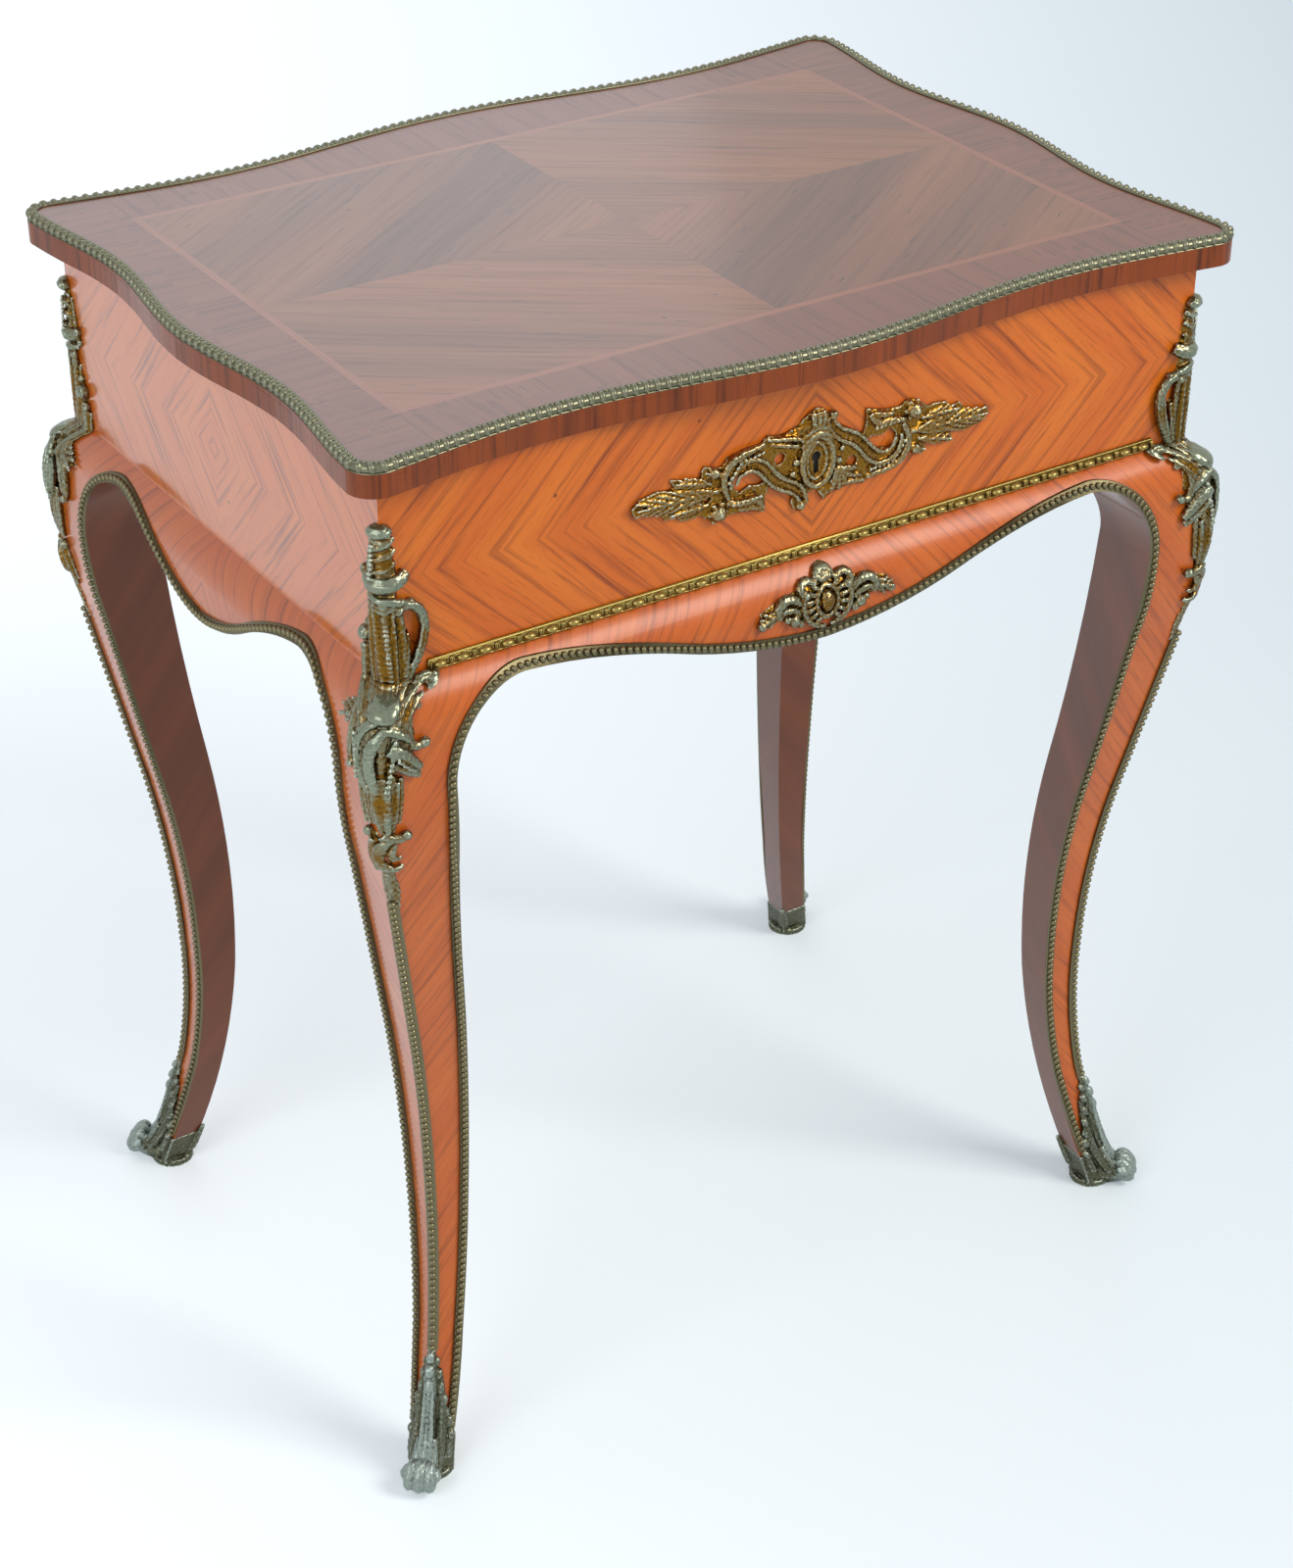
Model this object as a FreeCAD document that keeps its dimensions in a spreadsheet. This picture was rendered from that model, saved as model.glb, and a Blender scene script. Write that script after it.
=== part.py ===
import FreeCAD, Part
import math
import os
import re
import Sketcher
from FreeCAD import Placement, Rotation, Vector

# A lift-top dressing table on four cabriole legs, with cast mounts at the corners.
# X runs to the right, Y to the back, Z up; the origin is on the floor under the middle.
# Legs, aprons and what lies on them are sawn both ways: an outline seen from the front
# and an outline seen from the side, each run right through, and only their common part kept.

doc = FreeCAD.newDocument("DressingTable")
sheet = doc.addObject("Spreadsheet::Sheet", "Sizes")

# Driving dimensions, in millimetres
SIZES = (
    # carcase
    ("case_width", 574),
    ("case_depth", 406),
    ("case_top", 720),
    ("frieze_height", 123),
    ("frieze_veneer", 1.5),
    ("post_size", 46),
    ("rail_thickness", 20),
    ("tenon_thickness", 8),
    ("tenon_setback", 6),
    ("rail_tenon_length", 20),
    ("rail_tenon_margin", 15),
    ("apron_tenon_length", 15),
    ("apron_tenon_height", 16),
    # interior
    ("bottom_thickness", 8),
    ("bottom_rise", 11),
    ("groove_depth", 6),
    ("divider_thickness", 8),
    ("divider_drop", 20),
    ("divider_offset", 120),
    ("cross_divider_offset", 40),
    # legs and aprons
    ("leg_bow", 27),
    ("knee_swell", 17),
    ("foot_width", 19),
    ("knee_width", 49),
    ("apron_depth", 67),
    ("arch_run", 50),
    ("arch_rise", 56),
    ("lobe_drop", 37),
    # mounts on the legs and aprons
    ("strip_thickness", 1.8),
    ("strip_leg", 3.5),
    ("edging_width", 6),
    ("edging_bottom", 30),
    ("mount_drop", 140),
    ("mount_margin", 22),
    ("mount_thickness", 4),
    ("mount_front_reach", 30),
    ("mount_side_reach", 38),
    ("rosette_radius", 10),
    ("rosette_drop", 9),
    ("rosette_projection", 6),
    ("finial_radius", 6.5),
    ("finial_length", 18),
    ("sole_thickness", 4),
    ("sole_radius", 15),
    ("cuff_thickness", 1.8),
    ("cuff_height", 22),
    ("sabot_height", 88),
    ("sabot_leaf_thickness", 2.4),
    ("toe_length", 17),
    ("toe_height", 42),
    ("toe_width", 13),
    # mounts on the front
    ("moulding_height", 8),
    ("moulding_projection", 4.5),
    ("moulding_return", 25),
    ("escutcheon_half_length", 124),
    ("escutcheon_half_height", 31),
    ("escutcheon_thickness", 3.5),
    ("keyhole_radius", 1.9),
    ("keyhole_slot_width", 2.2),
    ("keyhole_slot_length", 8),
    ("cartouche_half_width", 47),
    ("cartouche_half_height", 16.5),
    ("cartouche_drop", 24),
    ("cartouche_thickness", 4),
    ("egg_half_width", 5),
    ("egg_half_height", 7.5),
    ("egg_projection", 7),
    # lid
    ("side_overhang", 13.5),
    ("front_overhang", 14.8),
    ("front_wave", 8.25),
    ("side_wave", 5.5),
    ("lid_corner_radius", 17),
    ("lid_thickness", 18),
    ("top_veneer", 1.2),
    ("rim_width", 6),
    ("rim_height", 9),
    ("rim_rise", 2.5),
    ("side_band_width", 46),
    ("front_band_width", 50.3),
    ("stringing_width", 5),
    # mirror under the lid
    ("mirror_side_margin", 67),
    ("mirror_front_margin", 58),
    ("mirror_frame_width", 16),
    ("mirror_frame_thickness", 6),
    ("mirror_rebate", 5),
    ("glass_thickness", 3),
    # hinges
    ("hinge_offset", 100),
    ("hinge_length", 50),
    ("knuckle_radius", 3),
    ("pin_radius", 1.3),
    ("pin_clearance", 0.05),
    ("knuckle_gap", 0.15),
    ("hinge_gap", 0.3),
    ("knuckle_clearance", 0.5),
    ("leaf_thickness", 1.5),
    ("leaf_depth", 22),
    # lock
    ("lock_width", 60),
    ("lock_foot", 14.5),
    ("lock_depth", 12),
    ("lock_wall", 1.5),
    ("lock_top_wall", 2),
    ("drill_pin_radius", 1.2),
    ("drill_pin_length", 7),
    ("bolt_thickness", 2.4),
    ("bolt_height", 7),
    ("bolt_running_gap", 0.2),
    ("finger_width", 5),
    ("finger_height", 4),
    ("bolt_travel", 7),
    ("bolt_tail", 16),
    ("talon_width", 5),
    ("talon_depth", 3),
    ("guide_height", 4),
    ("guide_gap", 10),
    ("strike_length", 44),
    ("strike_width", 12),
    ("strike_thickness", 2),
    ("staple_offset", 12),
    ("staple_thickness", 2.4),
    ("staple_width", 6),
    ("staple_drop", 14),
    ("staple_gap", 1),
    ("eye_width", 3.4),
    ("eye_height", 5),
    ("eye_margin", 2),
    ("slot_clearance", 0.6),
)
for row, (alias, value) in enumerate(SIZES, start=1):
    sheet.set("A%d" % row, alias)
    sheet.set("B%d" % row, str(value))
    sheet.setAlias("B%d" % row, alias)
doc.recompute()
ALIASES = {alias for alias, value in SIZES}

# Sizes that follow from the driving ones
front_wave_share = 0.5824
side_wave_share = 0.4913
FOLLOWING = {
    "frieze_bottom": "case_top - frieze_height",
    "arch_spring": "frieze_bottom - apron_depth",
    "mount_bottom": "frieze_bottom - mount_drop",
    "mount_top": "case_top - mount_margin",
    "rosette_height": "frieze_bottom - rosette_drop",
    "cartouche_height": "frieze_bottom - cartouche_drop",
    "lid_half_width": "case_width/2 + side_overhang",
    "lid_half_depth": "case_depth/2 + front_overhang",
    "field_half_width": "lid_half_width - side_band_width - stringing_width",
    "field_half_depth": "lid_half_depth - front_band_width - stringing_width",
    "mirror_width": "case_width - 2*mirror_side_margin",
    "mirror_depth": "case_depth - 2*mirror_front_margin",
    "lock_height": "frieze_height/2 + lock_foot",
}


# Reading the sheet and binding to it

def bound(text):
    """Write an expression's sizes as cells of the sheet, and those that follow in full."""
    def cell(found):
        word = found.group()
        if word in FOLLOWING:
            return "(%s)" % bound(FOLLOWING[word])
        return "Sizes." + word if word in ALIASES else word
    return re.sub(r"[a-z]\w*", cell, text)


def size(text):
    """The present value of a size, or of an expression in sizes."""
    return float(sheet.evalExpression(bound(text)))


def bind(thing, prop, text):
    thing.setExpression(prop, bound(text))


def place(thing, x="0", y="0", z="0"):
    bind(thing, "Placement.Base.x", x)
    bind(thing, "Placement.Base.y", y)
    bind(thing, "Placement.Base.z", z)
    return thing


# Solids and how they are joined, cut and mirrored

def box(name, length, width, height, x, y, z):
    thing = doc.addObject("Part::Box", name)
    bind(thing, "Length", length)
    bind(thing, "Width", width)
    bind(thing, "Height", height)
    return place(thing, x, y, z)


def face(name, edges, holes=()):
    """A flat face inside one loop of edges, with a hole for each further loop."""
    thing = doc.addObject("Part::Feature", name)
    loops = [Part.Wire(Part.__sortEdges__(list(loop))) for loop in (edges, *holes)]
    thing.Shape = Part.makeFace(loops, "Part::FaceMakerBullseye")
    return thing


def extrude(name, profile, direction, forward, backward="0"):
    thing = doc.addObject("Part::Extrusion", name)
    thing.Base = profile
    thing.DirMode = "Custom"
    thing.Dir = direction
    thing.Solid = True
    bind(thing, "LengthFwd", forward)
    bind(thing, "LengthRev", backward)
    return thing


def common(name, first, second):
    thing = doc.addObject("Part::Common", name)
    thing.Base = first
    thing.Tool = second
    return thing


def fuse(name, *parts):
    thing = doc.addObject("Part::MultiFuse", name)
    thing.Shapes = list(parts)
    return thing


def cut(name, base, *tools):
    tool = tools[0] if len(tools) == 1 else fuse(name + "_cutter", *tools)
    thing = doc.addObject("Part::Cut", name)
    thing.Base = base
    thing.Tool = tool
    return thing


def group(name, *parts):
    thing = doc.addObject("Part::Compound", name)
    thing.Links = list(parts)
    return thing


LEFT_RIGHT = Vector(1, 0, 0)
FRONT_BACK = Vector(0, 1, 0)


def mirror(name, source, normal):
    thing = doc.addObject("Part::Mirroring", name)
    thing.Source = source
    thing.Base = Vector(0, 0, 0)
    thing.Normal = normal
    return thing


nodes = []


def node(label, thing):
    """Keep a finished piece under the name of its node."""
    thing.Label = label
    nodes.append(thing)
    return thing


def four_corners(label, back_right):
    """The piece at the back right corner, and its mirrored fellows at the other three."""
    back_left = mirror(label + "_to_left", back_right, LEFT_RIGHT)
    front_right = mirror(label + "_to_front", back_right, FRONT_BACK)
    front_left = mirror(label + "_to_front_left", back_left, FRONT_BACK)
    node(label + "_back_right", back_right)
    node(label + "_back_left", back_left)
    node(label + "_front_right", front_right)
    node(label + "_front_left", front_left)
    return front_left, front_right, back_left, back_right


# Outlines. XZ is the elevation seen from the front, YZ the one seen from the side;
# both are drawn for the back right quarter, where x and y are positive.

def point(plane, across, height):
    return Vector(across, 0, height) if plane == "XZ" else Vector(0, across, height)


THROUGH = {"XZ": FRONT_BACK, "YZ": LEFT_RIGHT}
SPAN = {"XZ": "case_width", "YZ": "case_depth"}
OTHER = {"XZ": "YZ", "YZ": "XZ"}


def line(plane, start, end):
    return Part.LineSegment(point(plane, *start), point(plane, *end)).toShape()


def lines(plane, corners):
    return [line(plane, a, b) for a, b in zip(corners, corners[1:])]


flat_share = 0.0005


def arcs(points):
    """A chain of arcs along a line of points, each arc through three of them."""
    edges = []
    for first, middle, last in zip(points[::2], points[1::2], points[2::2]):
        chord = last - first
        if (middle - first).cross(chord).Length < flat_share * chord.Length ** 2:
            edges.append(Part.LineSegment(first, last).toShape())
        else:
            edges.append(Part.Arc(first, middle, last).toShape())
    return edges


def plane_arcs(plane, pairs):
    return arcs([point(plane, across, height) for across, height in pairs])


# The double curve of the outer faces, from the sole to the frieze: each row is a share
# of the height, a share of the bow and a share of the swell at the knee.
swell_shares = (
    (0.0, 0.02, 0.0),
    (0.027, -0.13, 0.0),
    (0.061, -0.31, 0.0),
    (0.094, -0.47, 0.0),
    (0.162, -0.78, 0.0),
    (0.246, -0.97, 0.0),
    (0.331, -1.0, 0.0),
    (0.432, -0.9, 0.0),
    (0.55, -0.59, 0.0),
    (0.668, -0.13, 0.0),
    (0.786, 0.0, 0.53),
    (0.904, 0.0, 1.0),
    (0.963, 0.0, 0.86),
    (0.988, 0.0, 0.47),
    (1.0, 0.0, 0.0),
)
leg_taper_power = 1.4


def swell_arcs(plane, shift=0):
    """The outer face's curve in one elevation, as arcs, moved outwards by shift."""
    sole = size("sole_thickness")
    reach = size("frieze_bottom") - sole
    wall = size(SPAN[plane]) / 2 + shift
    points = []
    for height_share, bow_share, knee_share in swell_shares:
        out = bow_share * size("leg_bow") + knee_share * size("knee_swell")
        points.append(point(plane, wall + out, sole + height_share * reach))
    curve = Part.BSplineCurve()
    curve.interpolate(points)
    points = [curve.value(knot) for knot in curve.getKnots()]
    return [Part.Arc(*points[index:index + 3]) for index in range(0, len(points) - 2, 2)]


def parameter_at(arc, height):
    """Where on a rising arc a height is reached, by halving."""
    low, high = arc.FirstParameter, arc.LastParameter
    for step in range(40):
        middle = (low + high) / 2
        if arc.value(middle).z < height:
            low = middle
        else:
            high = middle
    return (low + high) / 2


SWELL = {"XZ": swell_arcs("XZ"), "YZ": swell_arcs("YZ")}


def outer(plane, height):
    """How far out the outer face stands at a height."""
    if height >= size("frieze_bottom"):
        return size(SPAN[plane]) / 2
    arc = next(arc for arc in SWELL[plane] if arc.EndPoint.z > height)
    spot = arc.value(parameter_at(arc, height))
    return spot.x if plane == "XZ" else spot.y


def outer_edges(plane, shift, low, high):
    """The outer face's line from low to high: the curve, then the upright wall of the frieze."""
    edges = []
    for arc in swell_arcs(plane, shift):
        if arc.EndPoint.z > low and arc.StartPoint.z < high:
            first = parameter_at(arc, low) if arc.StartPoint.z < low else arc.FirstParameter
            last = parameter_at(arc, high) if arc.EndPoint.z > high else arc.LastParameter
            edges.append(arc.toShape(first, last))
    wall_bottom = size("frieze_bottom")
    if high > wall_bottom:
        wall = size(SPAN[plane]) / 2 + shift
        edges.append(line(plane, (wall, wall_bottom), (wall, high)))
    return edges


def outer_end(plane, shift, height):
    return (outer(plane, height) + shift, height)


def band_edges(plane, inside, outside, low, high):
    edges = outer_edges(plane, inside, low, high) + outer_edges(plane, outside, low, high)
    for height in (low, high):
        edges.append(line(plane, outer_end(plane, inside, height), outer_end(plane, outside, height)))
    return edges


def heights(low, high, count):
    return [low + (high - low) * step / count for step in range(count + 1)]


def chords(plane, shift, low, high, count=6):
    """The outer face's line from low to high in straight steps."""
    return lines(plane, [outer_end(plane, shift, height) for height in heights(low, high, count)])


def plain_band(name, plane, inside, outside, low, high):
    """The same slice in straight steps, for a mount whose relief is not modelled."""
    edges = chords(plane, inside, low, high) + chords(plane, outside, low, high)
    for height in (low, high):
        edges.append(line(plane, outer_end(plane, inside, height), outer_end(plane, outside, height)))
    return through(face(name, edges), plane)


def band(name, plane, inside, outside, low, high):
    """The slice between two lines that follow the outer face."""
    return through(face(name, band_edges(plane, inside, outside, low, high)), plane)


def through(profile, plane):
    """A profile of one elevation run through the whole back or right half of the piece."""
    return extrude(profile.Name + "_run", profile, THROUGH[plane], SPAN[OTHER[plane]])


def leg_width(height):
    foot, knee = size("foot_width"), size("knee_width")
    sole = size("sole_thickness")
    climb_share = (height - sole) / (size("arch_spring") - sole)
    return foot + (knee - foot) * climb_share ** leg_taper_power


def leg_inner(plane, low):
    """The leg's inner edge from a height up to where the arch springs."""
    steps = heights(low, size("arch_spring"), 6)
    return [(outer(plane, height) - leg_width(height), height) for height in steps]


def arch_point(plane, turn):
    """A point of the quarter oval between leg and apron, turn radians up from its spring."""
    spring = outer(plane, size("arch_spring")) - size("knee_width")
    along = spring - size("arch_run") * (1 - math.cos(turn))
    return along, size("arch_spring") + size("arch_rise") * math.sin(turn)


def apex(plane):
    return arch_point(plane, math.pi / 2)[0]


def underside(plane):
    """The apron's lower edge from the arch's spring to the middle of the lobe."""
    points = [arch_point(plane, math.pi / 2 * step / 4) for step in range(5)]
    top = points[-1][1]
    for step in range(1, 5):
        along_share = 1 - step / 4
        drop = size("lobe_drop") * (1 + math.cos(math.pi * along_share)) / 2
        points.append((apex(plane) * along_share, top - drop))
    return points


def both_halves(half):
    """A line of points from right to left, given its right half up to the middle."""
    return half + [(-across, height) for across, height in reversed(half[:-1])]


def wood_face(plane):
    return "(%s/2 - frieze_veneer)" % SPAN[plane]


def shoulder(plane):
    return "(%s/2 - frieze_veneer - post_size)" % SPAN[plane]


def wall_box(name, plane, along, length, out, thickness, bottom, height):
    """A box in the wall seen in one elevation: the back wall for XZ, the right one for YZ."""
    if plane == "XZ":
        return box(name, length, thickness, height, along, out, bottom)
    return box(name, thickness, length, height, out, along, bottom)


# Tenons, and with them the mortises that they fill in the legs

def rail_tenon(name, plane):
    out = wood_face(OTHER[plane]) + " - tenon_setback - tenon_thickness"
    return wall_box(name, plane, shoulder(plane), "rail_tenon_length", out, "tenon_thickness",
                    "frieze_bottom + rail_tenon_margin",
                    "case_top - frieze_bottom - 2*rail_tenon_margin")


def apron_tenon(name, plane):
    out = wood_face(OTHER[plane]) + " - tenon_setback - tenon_thickness"
    return wall_box(name, plane, shoulder(plane), "apron_tenon_length", out, "tenon_thickness",
                    "frieze_bottom - apron_tenon_height", "apron_tenon_height")


# Cabriole legs, each in one piece with its post

def leg_profile(plane):
    sole, knee_top, top = size("sole_thickness"), size("frieze_bottom"), size("case_top")
    bed, inner = size(wood_face(plane)), size(shoulder(plane))
    inner_points = leg_inner(plane, sole)
    spring = inner_points[-1][0]
    full_turn = math.acos(1 - (spring - inner) / size("arch_run"))
    arch = [arch_point(plane, full_turn * step / 2) for step in range(3)]
    edges = outer_edges(plane, 0, sole, knee_top)
    edges += lines(plane, [(size(SPAN[plane]) / 2, knee_top), (bed, knee_top), (bed, top),
                           (inner, top), arch[-1]])
    edges += plane_arcs(plane, arch)
    edges += plane_arcs(plane, inner_points)
    edges.append(line(plane, inner_points[0], outer_end(plane, 0, sole)))
    return through(face("leg_outline_" + plane, edges), plane)


leg_blank = common("leg_blank", leg_profile("XZ"), leg_profile("YZ"))
mortises = [rail_tenon("rail_mortise_x", "XZ"), rail_tenon("rail_mortise_y", "YZ"),
            apron_tenon("apron_mortise_x", "XZ"), apron_tenon("apron_mortise_y", "YZ")]
leg = cut("leg", leg_blank, *mortises)
four_corners("leg", leg)


# Aprons: swelling outside, flat inside, with a lobe between two arched ends

def apron(plane):
    top = size("frieze_bottom")
    low = size("arch_spring - knee_width")
    edge = both_halves(underside(plane))
    start, end = edge[0], edge[-1]
    outline = plane_arcs(plane, edge)
    outline += lines(plane, [end, (end[0], top), (start[0], top), start])
    elevation = through(face("apron_outline_" + plane, outline), plane)

    other = OTHER[plane]
    inner = size(wood_face(other) + " - rail_thickness")
    side = outer_edges(other, 0, low, top)
    side += lines(other, [outer_end(other, 0, top), (inner, top), (inner, low), outer_end(other, 0, low)])
    length = shoulder(plane)
    section = extrude("apron_section_run_" + plane, face("apron_section_" + plane, side),
                      THROUGH[other], length, length)

    curved = common("apron_curved_" + plane, elevation, section)
    tenon = apron_tenon("apron_tenon_" + plane, plane)
    far_tenon = mirror("apron_far_tenon_" + plane, tenon, THROUGH[other])
    return fuse("apron_" + plane, curved, tenon, far_tenon)


apron_back = node("apron_back", apron("XZ"))
apron_front = node("apron_front", mirror("apron_to_front", apron_back, FRONT_BACK))
apron_right = node("apron_right", apron("YZ"))
apron_left = node("apron_left", mirror("apron_to_left", apron_right, LEFT_RIGHT))


# Bottom of the well, let into grooves in the four rails and notched round the posts

inside_x = "(case_width/2 - frieze_veneer - rail_thickness)"
inside_y = "(case_depth/2 - frieze_veneer - rail_thickness)"
well_blank = box("well_blank", "2*(%s + groove_depth)" % inside_x, "2*(%s + groove_depth)" % inside_y,
                 "bottom_thickness", "-(%s + groove_depth)" % inside_x,
                 "-(%s + groove_depth)" % inside_y, "frieze_bottom + bottom_rise")
post_back_right = box("post_back_right", "post_size", "post_size", "case_top - frieze_bottom",
                      shoulder("XZ"), shoulder("YZ"), "frieze_bottom")
post_back_left = mirror("post_back_left", post_back_right, LEFT_RIGHT)
posts = [post_back_right, post_back_left, mirror("post_front_right", post_back_right, FRONT_BACK),
         mirror("post_front_left", post_back_left, FRONT_BACK)]
well_bottom = node("well_bottom", cut("well_bottom", well_blank, *posts))


# Lock: case, cap, sliding bolt and the strike under the lid. Each body is drawn from the
# middle of the case's open side at the top of the front rail, with the front at minus y.

def sketch_on(body, role, name, outlines=(), circles=()):
    """A sketch on one of the body's own planes, every corner bound to the sheet."""
    plane = next(feature for feature in body.Origin.OriginFeatures if feature.Role == role)
    sketch = body.newObject("Sketcher::SketchObject", name)
    sketch.AttachmentSupport = (plane, [""])
    sketch.MapMode = "FlatFace"
    for corners in outlines:
        first = sketch.GeometryCount
        places = [Vector(size(x), size(y), 0) for x, y in corners]
        count = len(places)
        for index in range(count):
            segment = Part.LineSegment(places[index], places[(index + 1) % count])
            sketch.addGeometry(segment, False)
        for index in range(count):
            after = first + (index + 1) % count
            sketch.addConstraint(Sketcher.Constraint("Coincident", first + index, 2, after, 1))
            pin_down(sketch, first + index, 1, corners[index])
    for x, y, radius in circles:
        index = sketch.GeometryCount
        ring = Part.Circle(Vector(size(x), size(y), 0), Vector(0, 0, 1), size(radius))
        sketch.addGeometry(ring, False)
        pin_down(sketch, index, 3, (x, y))
        number = sketch.addConstraint(Sketcher.Constraint("Radius", index, size(radius)))
        bind(sketch, "Constraints[%d]" % number, radius)
    return sketch


def pin_down(sketch, geometry, position, texts):
    """Hold a point at its two distances from the sketch's origin."""
    for kind, text in zip(("DistanceX", "DistanceY"), texts):
        constraint = Sketcher.Constraint(kind, -1, 1, geometry, position, size(text))
        number = sketch.addConstraint(constraint)
        bind(sketch, "Constraints[%d]" % number, text)


def rectangle(left, right, bottom, top):
    return ((left, bottom), (right, bottom), (right, top), (left, top))


def pad(body, sketch, length, reverse=False, middle=False):
    feature = body.newObject("PartDesign::Pad", sketch.Name + "_pad")
    feature.Profile = sketch
    feature.Reversed = reverse
    feature.Midplane = middle
    bind(feature, "Length", length)
    return feature


def pocket(body, sketch, length, reverse=False, middle=False):
    """Cut a pocket and make sure that it met the solid."""
    doc.recompute()
    before = body.Shape.Volume
    feature = body.newObject("PartDesign::Pocket", sketch.Name + "_pocket")
    feature.Profile = sketch
    feature.Reversed = reverse
    feature.Midplane = middle
    bind(feature, "Length", length)
    doc.recompute()
    if body.Shape.Volume >= before:
        raise RuntimeError(sketch.Name + " cuts nothing")
    return feature


keyhole_height = "(frieze_bottom + case_top)/2"
lock_face = inside_y
bolt_middle = "(lock_depth - lock_wall)/2"
eye_top = "(eye_margin - staple_drop + eye_height)"
finger_top = "(%s - (eye_height - finger_height)/2)" % eye_top
bar_top = "(-staple_drop - eye_margin - finger_height)"
bar_bottom = "(%s - bolt_height)" % bar_top
guide_top = "(%s - bolt_running_gap)" % bar_bottom


def keyhole_outlines(middle):
    """The keyhole's round and the slot under it, for a sketch on the front's plane."""
    half = "keyhole_slot_width/2"
    slot = rectangle("-" + half, half, middle + " - keyhole_slot_length", middle)
    return slot, ("0", middle, "keyhole_radius")


def lock_case():
    body = doc.addObject("PartDesign::Body", "lock_case_body")
    place(body, "0", "-(%s + lock_wall)" % lock_face, "case_top")
    half = "lock_width/2"
    shell = sketch_on(body, "XZ_Plane", "lock_shell", [rectangle("-" + half, half, "-lock_height", "0")])
    pad(body, shell, "lock_depth - lock_wall")
    inner = rectangle("-(%s - lock_wall)" % half, "%s - lock_wall" % half,
                      "lock_wall - lock_height", "-lock_top_wall")
    cavity = sketch_on(body, "XZ_Plane", "lock_cavity", [inner])
    pocket(body, cavity, "lock_depth - 2*lock_wall", reverse=True)
    guides = [rectangle("-(%s - lock_wall)" % half, "-guide_gap", guide_top + " - guide_height", guide_top),
              rectangle("guide_gap", "%s - lock_wall" % half, guide_top + " - guide_height", guide_top)]
    pad(body, sketch_on(body, "XZ_Plane", "bolt_guides", guides), "lock_depth - lock_wall")
    slots = []
    for side in ("-", ""):
        middle = side + "staple_offset"
        reach_x = "(staple_thickness/2 + slot_clearance)"
        reach_y = "(staple_width/2 + slot_clearance)"
        slots.append(rectangle("%s - %s" % (middle, reach_x), "%s + %s" % (middle, reach_x),
                               "-(%s - lock_wall/2) - %s" % (bolt_middle, reach_y),
                               "-(%s - lock_wall/2) + %s" % (bolt_middle, reach_y)))
    pocket(body, sketch_on(body, "XY_Plane", "staple_slots", slots), "lock_top_wall")
    slot, ring = keyhole_outlines("%s - case_top" % keyhole_height)
    pocket(body, sketch_on(body, "XZ_Plane", "case_keyhole", circles=[ring]), "lock_depth", reverse=True)
    pocket(body, sketch_on(body, "XZ_Plane", "case_key_slot", [slot]), "lock_depth", reverse=True)
    return body


def lock_cap():
    body = doc.addObject("PartDesign::Body", "lock_cap_body")
    place(body, "0", "-%s" % lock_face, "case_top")
    half = "lock_width/2"
    plate = sketch_on(body, "XZ_Plane", "cap_plate", [rectangle("-" + half, half, "-lock_height", "0")])
    pad(body, plate, "lock_wall")
    drill = ("0", "%s - case_top" % keyhole_height, "drill_pin_radius")
    pad(body, sketch_on(body, "XZ_Plane", "drill_pin", circles=[drill]), "drill_pin_length + lock_wall")
    return body


def lock_bolt():
    """A bar with two hooked fingers, drawn back: sliding to the right locks the lid."""
    body = doc.addObject("PartDesign::Body", "lock_bolt_body")
    place(body, "0", "-(%s + lock_wall/2 + %s - bolt_thickness/2)" % (lock_face, bolt_middle), "case_top")
    finger_bottom = finger_top + " - finger_height"
    tips = ["%sstaple_offset - staple_thickness/2 - staple_gap" % side for side in ("-", "")]
    corners = []
    for tip in tips:
        riser = tip + " - bolt_travel"
        corners += [(riser + " - finger_width", bar_top), (riser + " - finger_width", finger_top),
                    (tip, finger_top), (tip, finger_bottom), (riser, finger_bottom), (riser, bar_top)]
    left = corners[0][0]
    half_talon = "talon_width/2"
    talon_top = bar_bottom + " + talon_depth"
    corners += [("bolt_tail", bar_top), ("bolt_tail", bar_bottom), (half_talon, bar_bottom),
                (half_talon, talon_top), ("-" + half_talon, talon_top), ("-" + half_talon, bar_bottom),
                (left, bar_bottom)]
    pad(body, sketch_on(body, "XZ_Plane", "bolt_comb", [corners[1:]]), "bolt_thickness")
    return body


def lid_strike():
    body = doc.addObject("PartDesign::Body", "lid_strike_body")
    place(body, "0", "-(%s + lock_wall/2 + %s)" % (lock_face, bolt_middle), "case_top")
    plate = rectangle("-strike_length/2", "strike_length/2", "-strike_width/2", "strike_width/2")
    pad(body, sketch_on(body, "XY_Plane", "strike_plate", [plate]), "strike_thickness")
    staples = [rectangle("%sstaple_offset - staple_thickness/2" % side,
                         "%sstaple_offset + staple_thickness/2" % side,
                         "-staple_width/2", "staple_width/2") for side in ("-", "")]
    pad(body, sketch_on(body, "XY_Plane", "staples", staples), "staple_drop", reverse=True)
    eye = rectangle("-eye_width/2", "eye_width/2", eye_top + " - eye_height", eye_top)
    pocket(body, sketch_on(body, "YZ_Plane", "staple_eyes", [eye]), "strike_length", middle=True)
    return body


node("lock_case", lock_case())
node("lock_cap", lock_cap())
node("lock_bolt", lock_bolt())
node("lid_strike", lid_strike())
lock_recess = box("lock_recess", "lock_width", "lock_depth", "lock_height", "-lock_width/2",
                  "-(%s + lock_depth)" % lock_face, "case_top - lock_height")
strike_recess = box("strike_recess", "strike_length", "strike_width", "strike_thickness",
                    "-strike_length/2",
                    "-(%s + lock_wall/2 + %s + strike_width/2)" % (lock_face, bolt_middle), "case_top")


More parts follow.
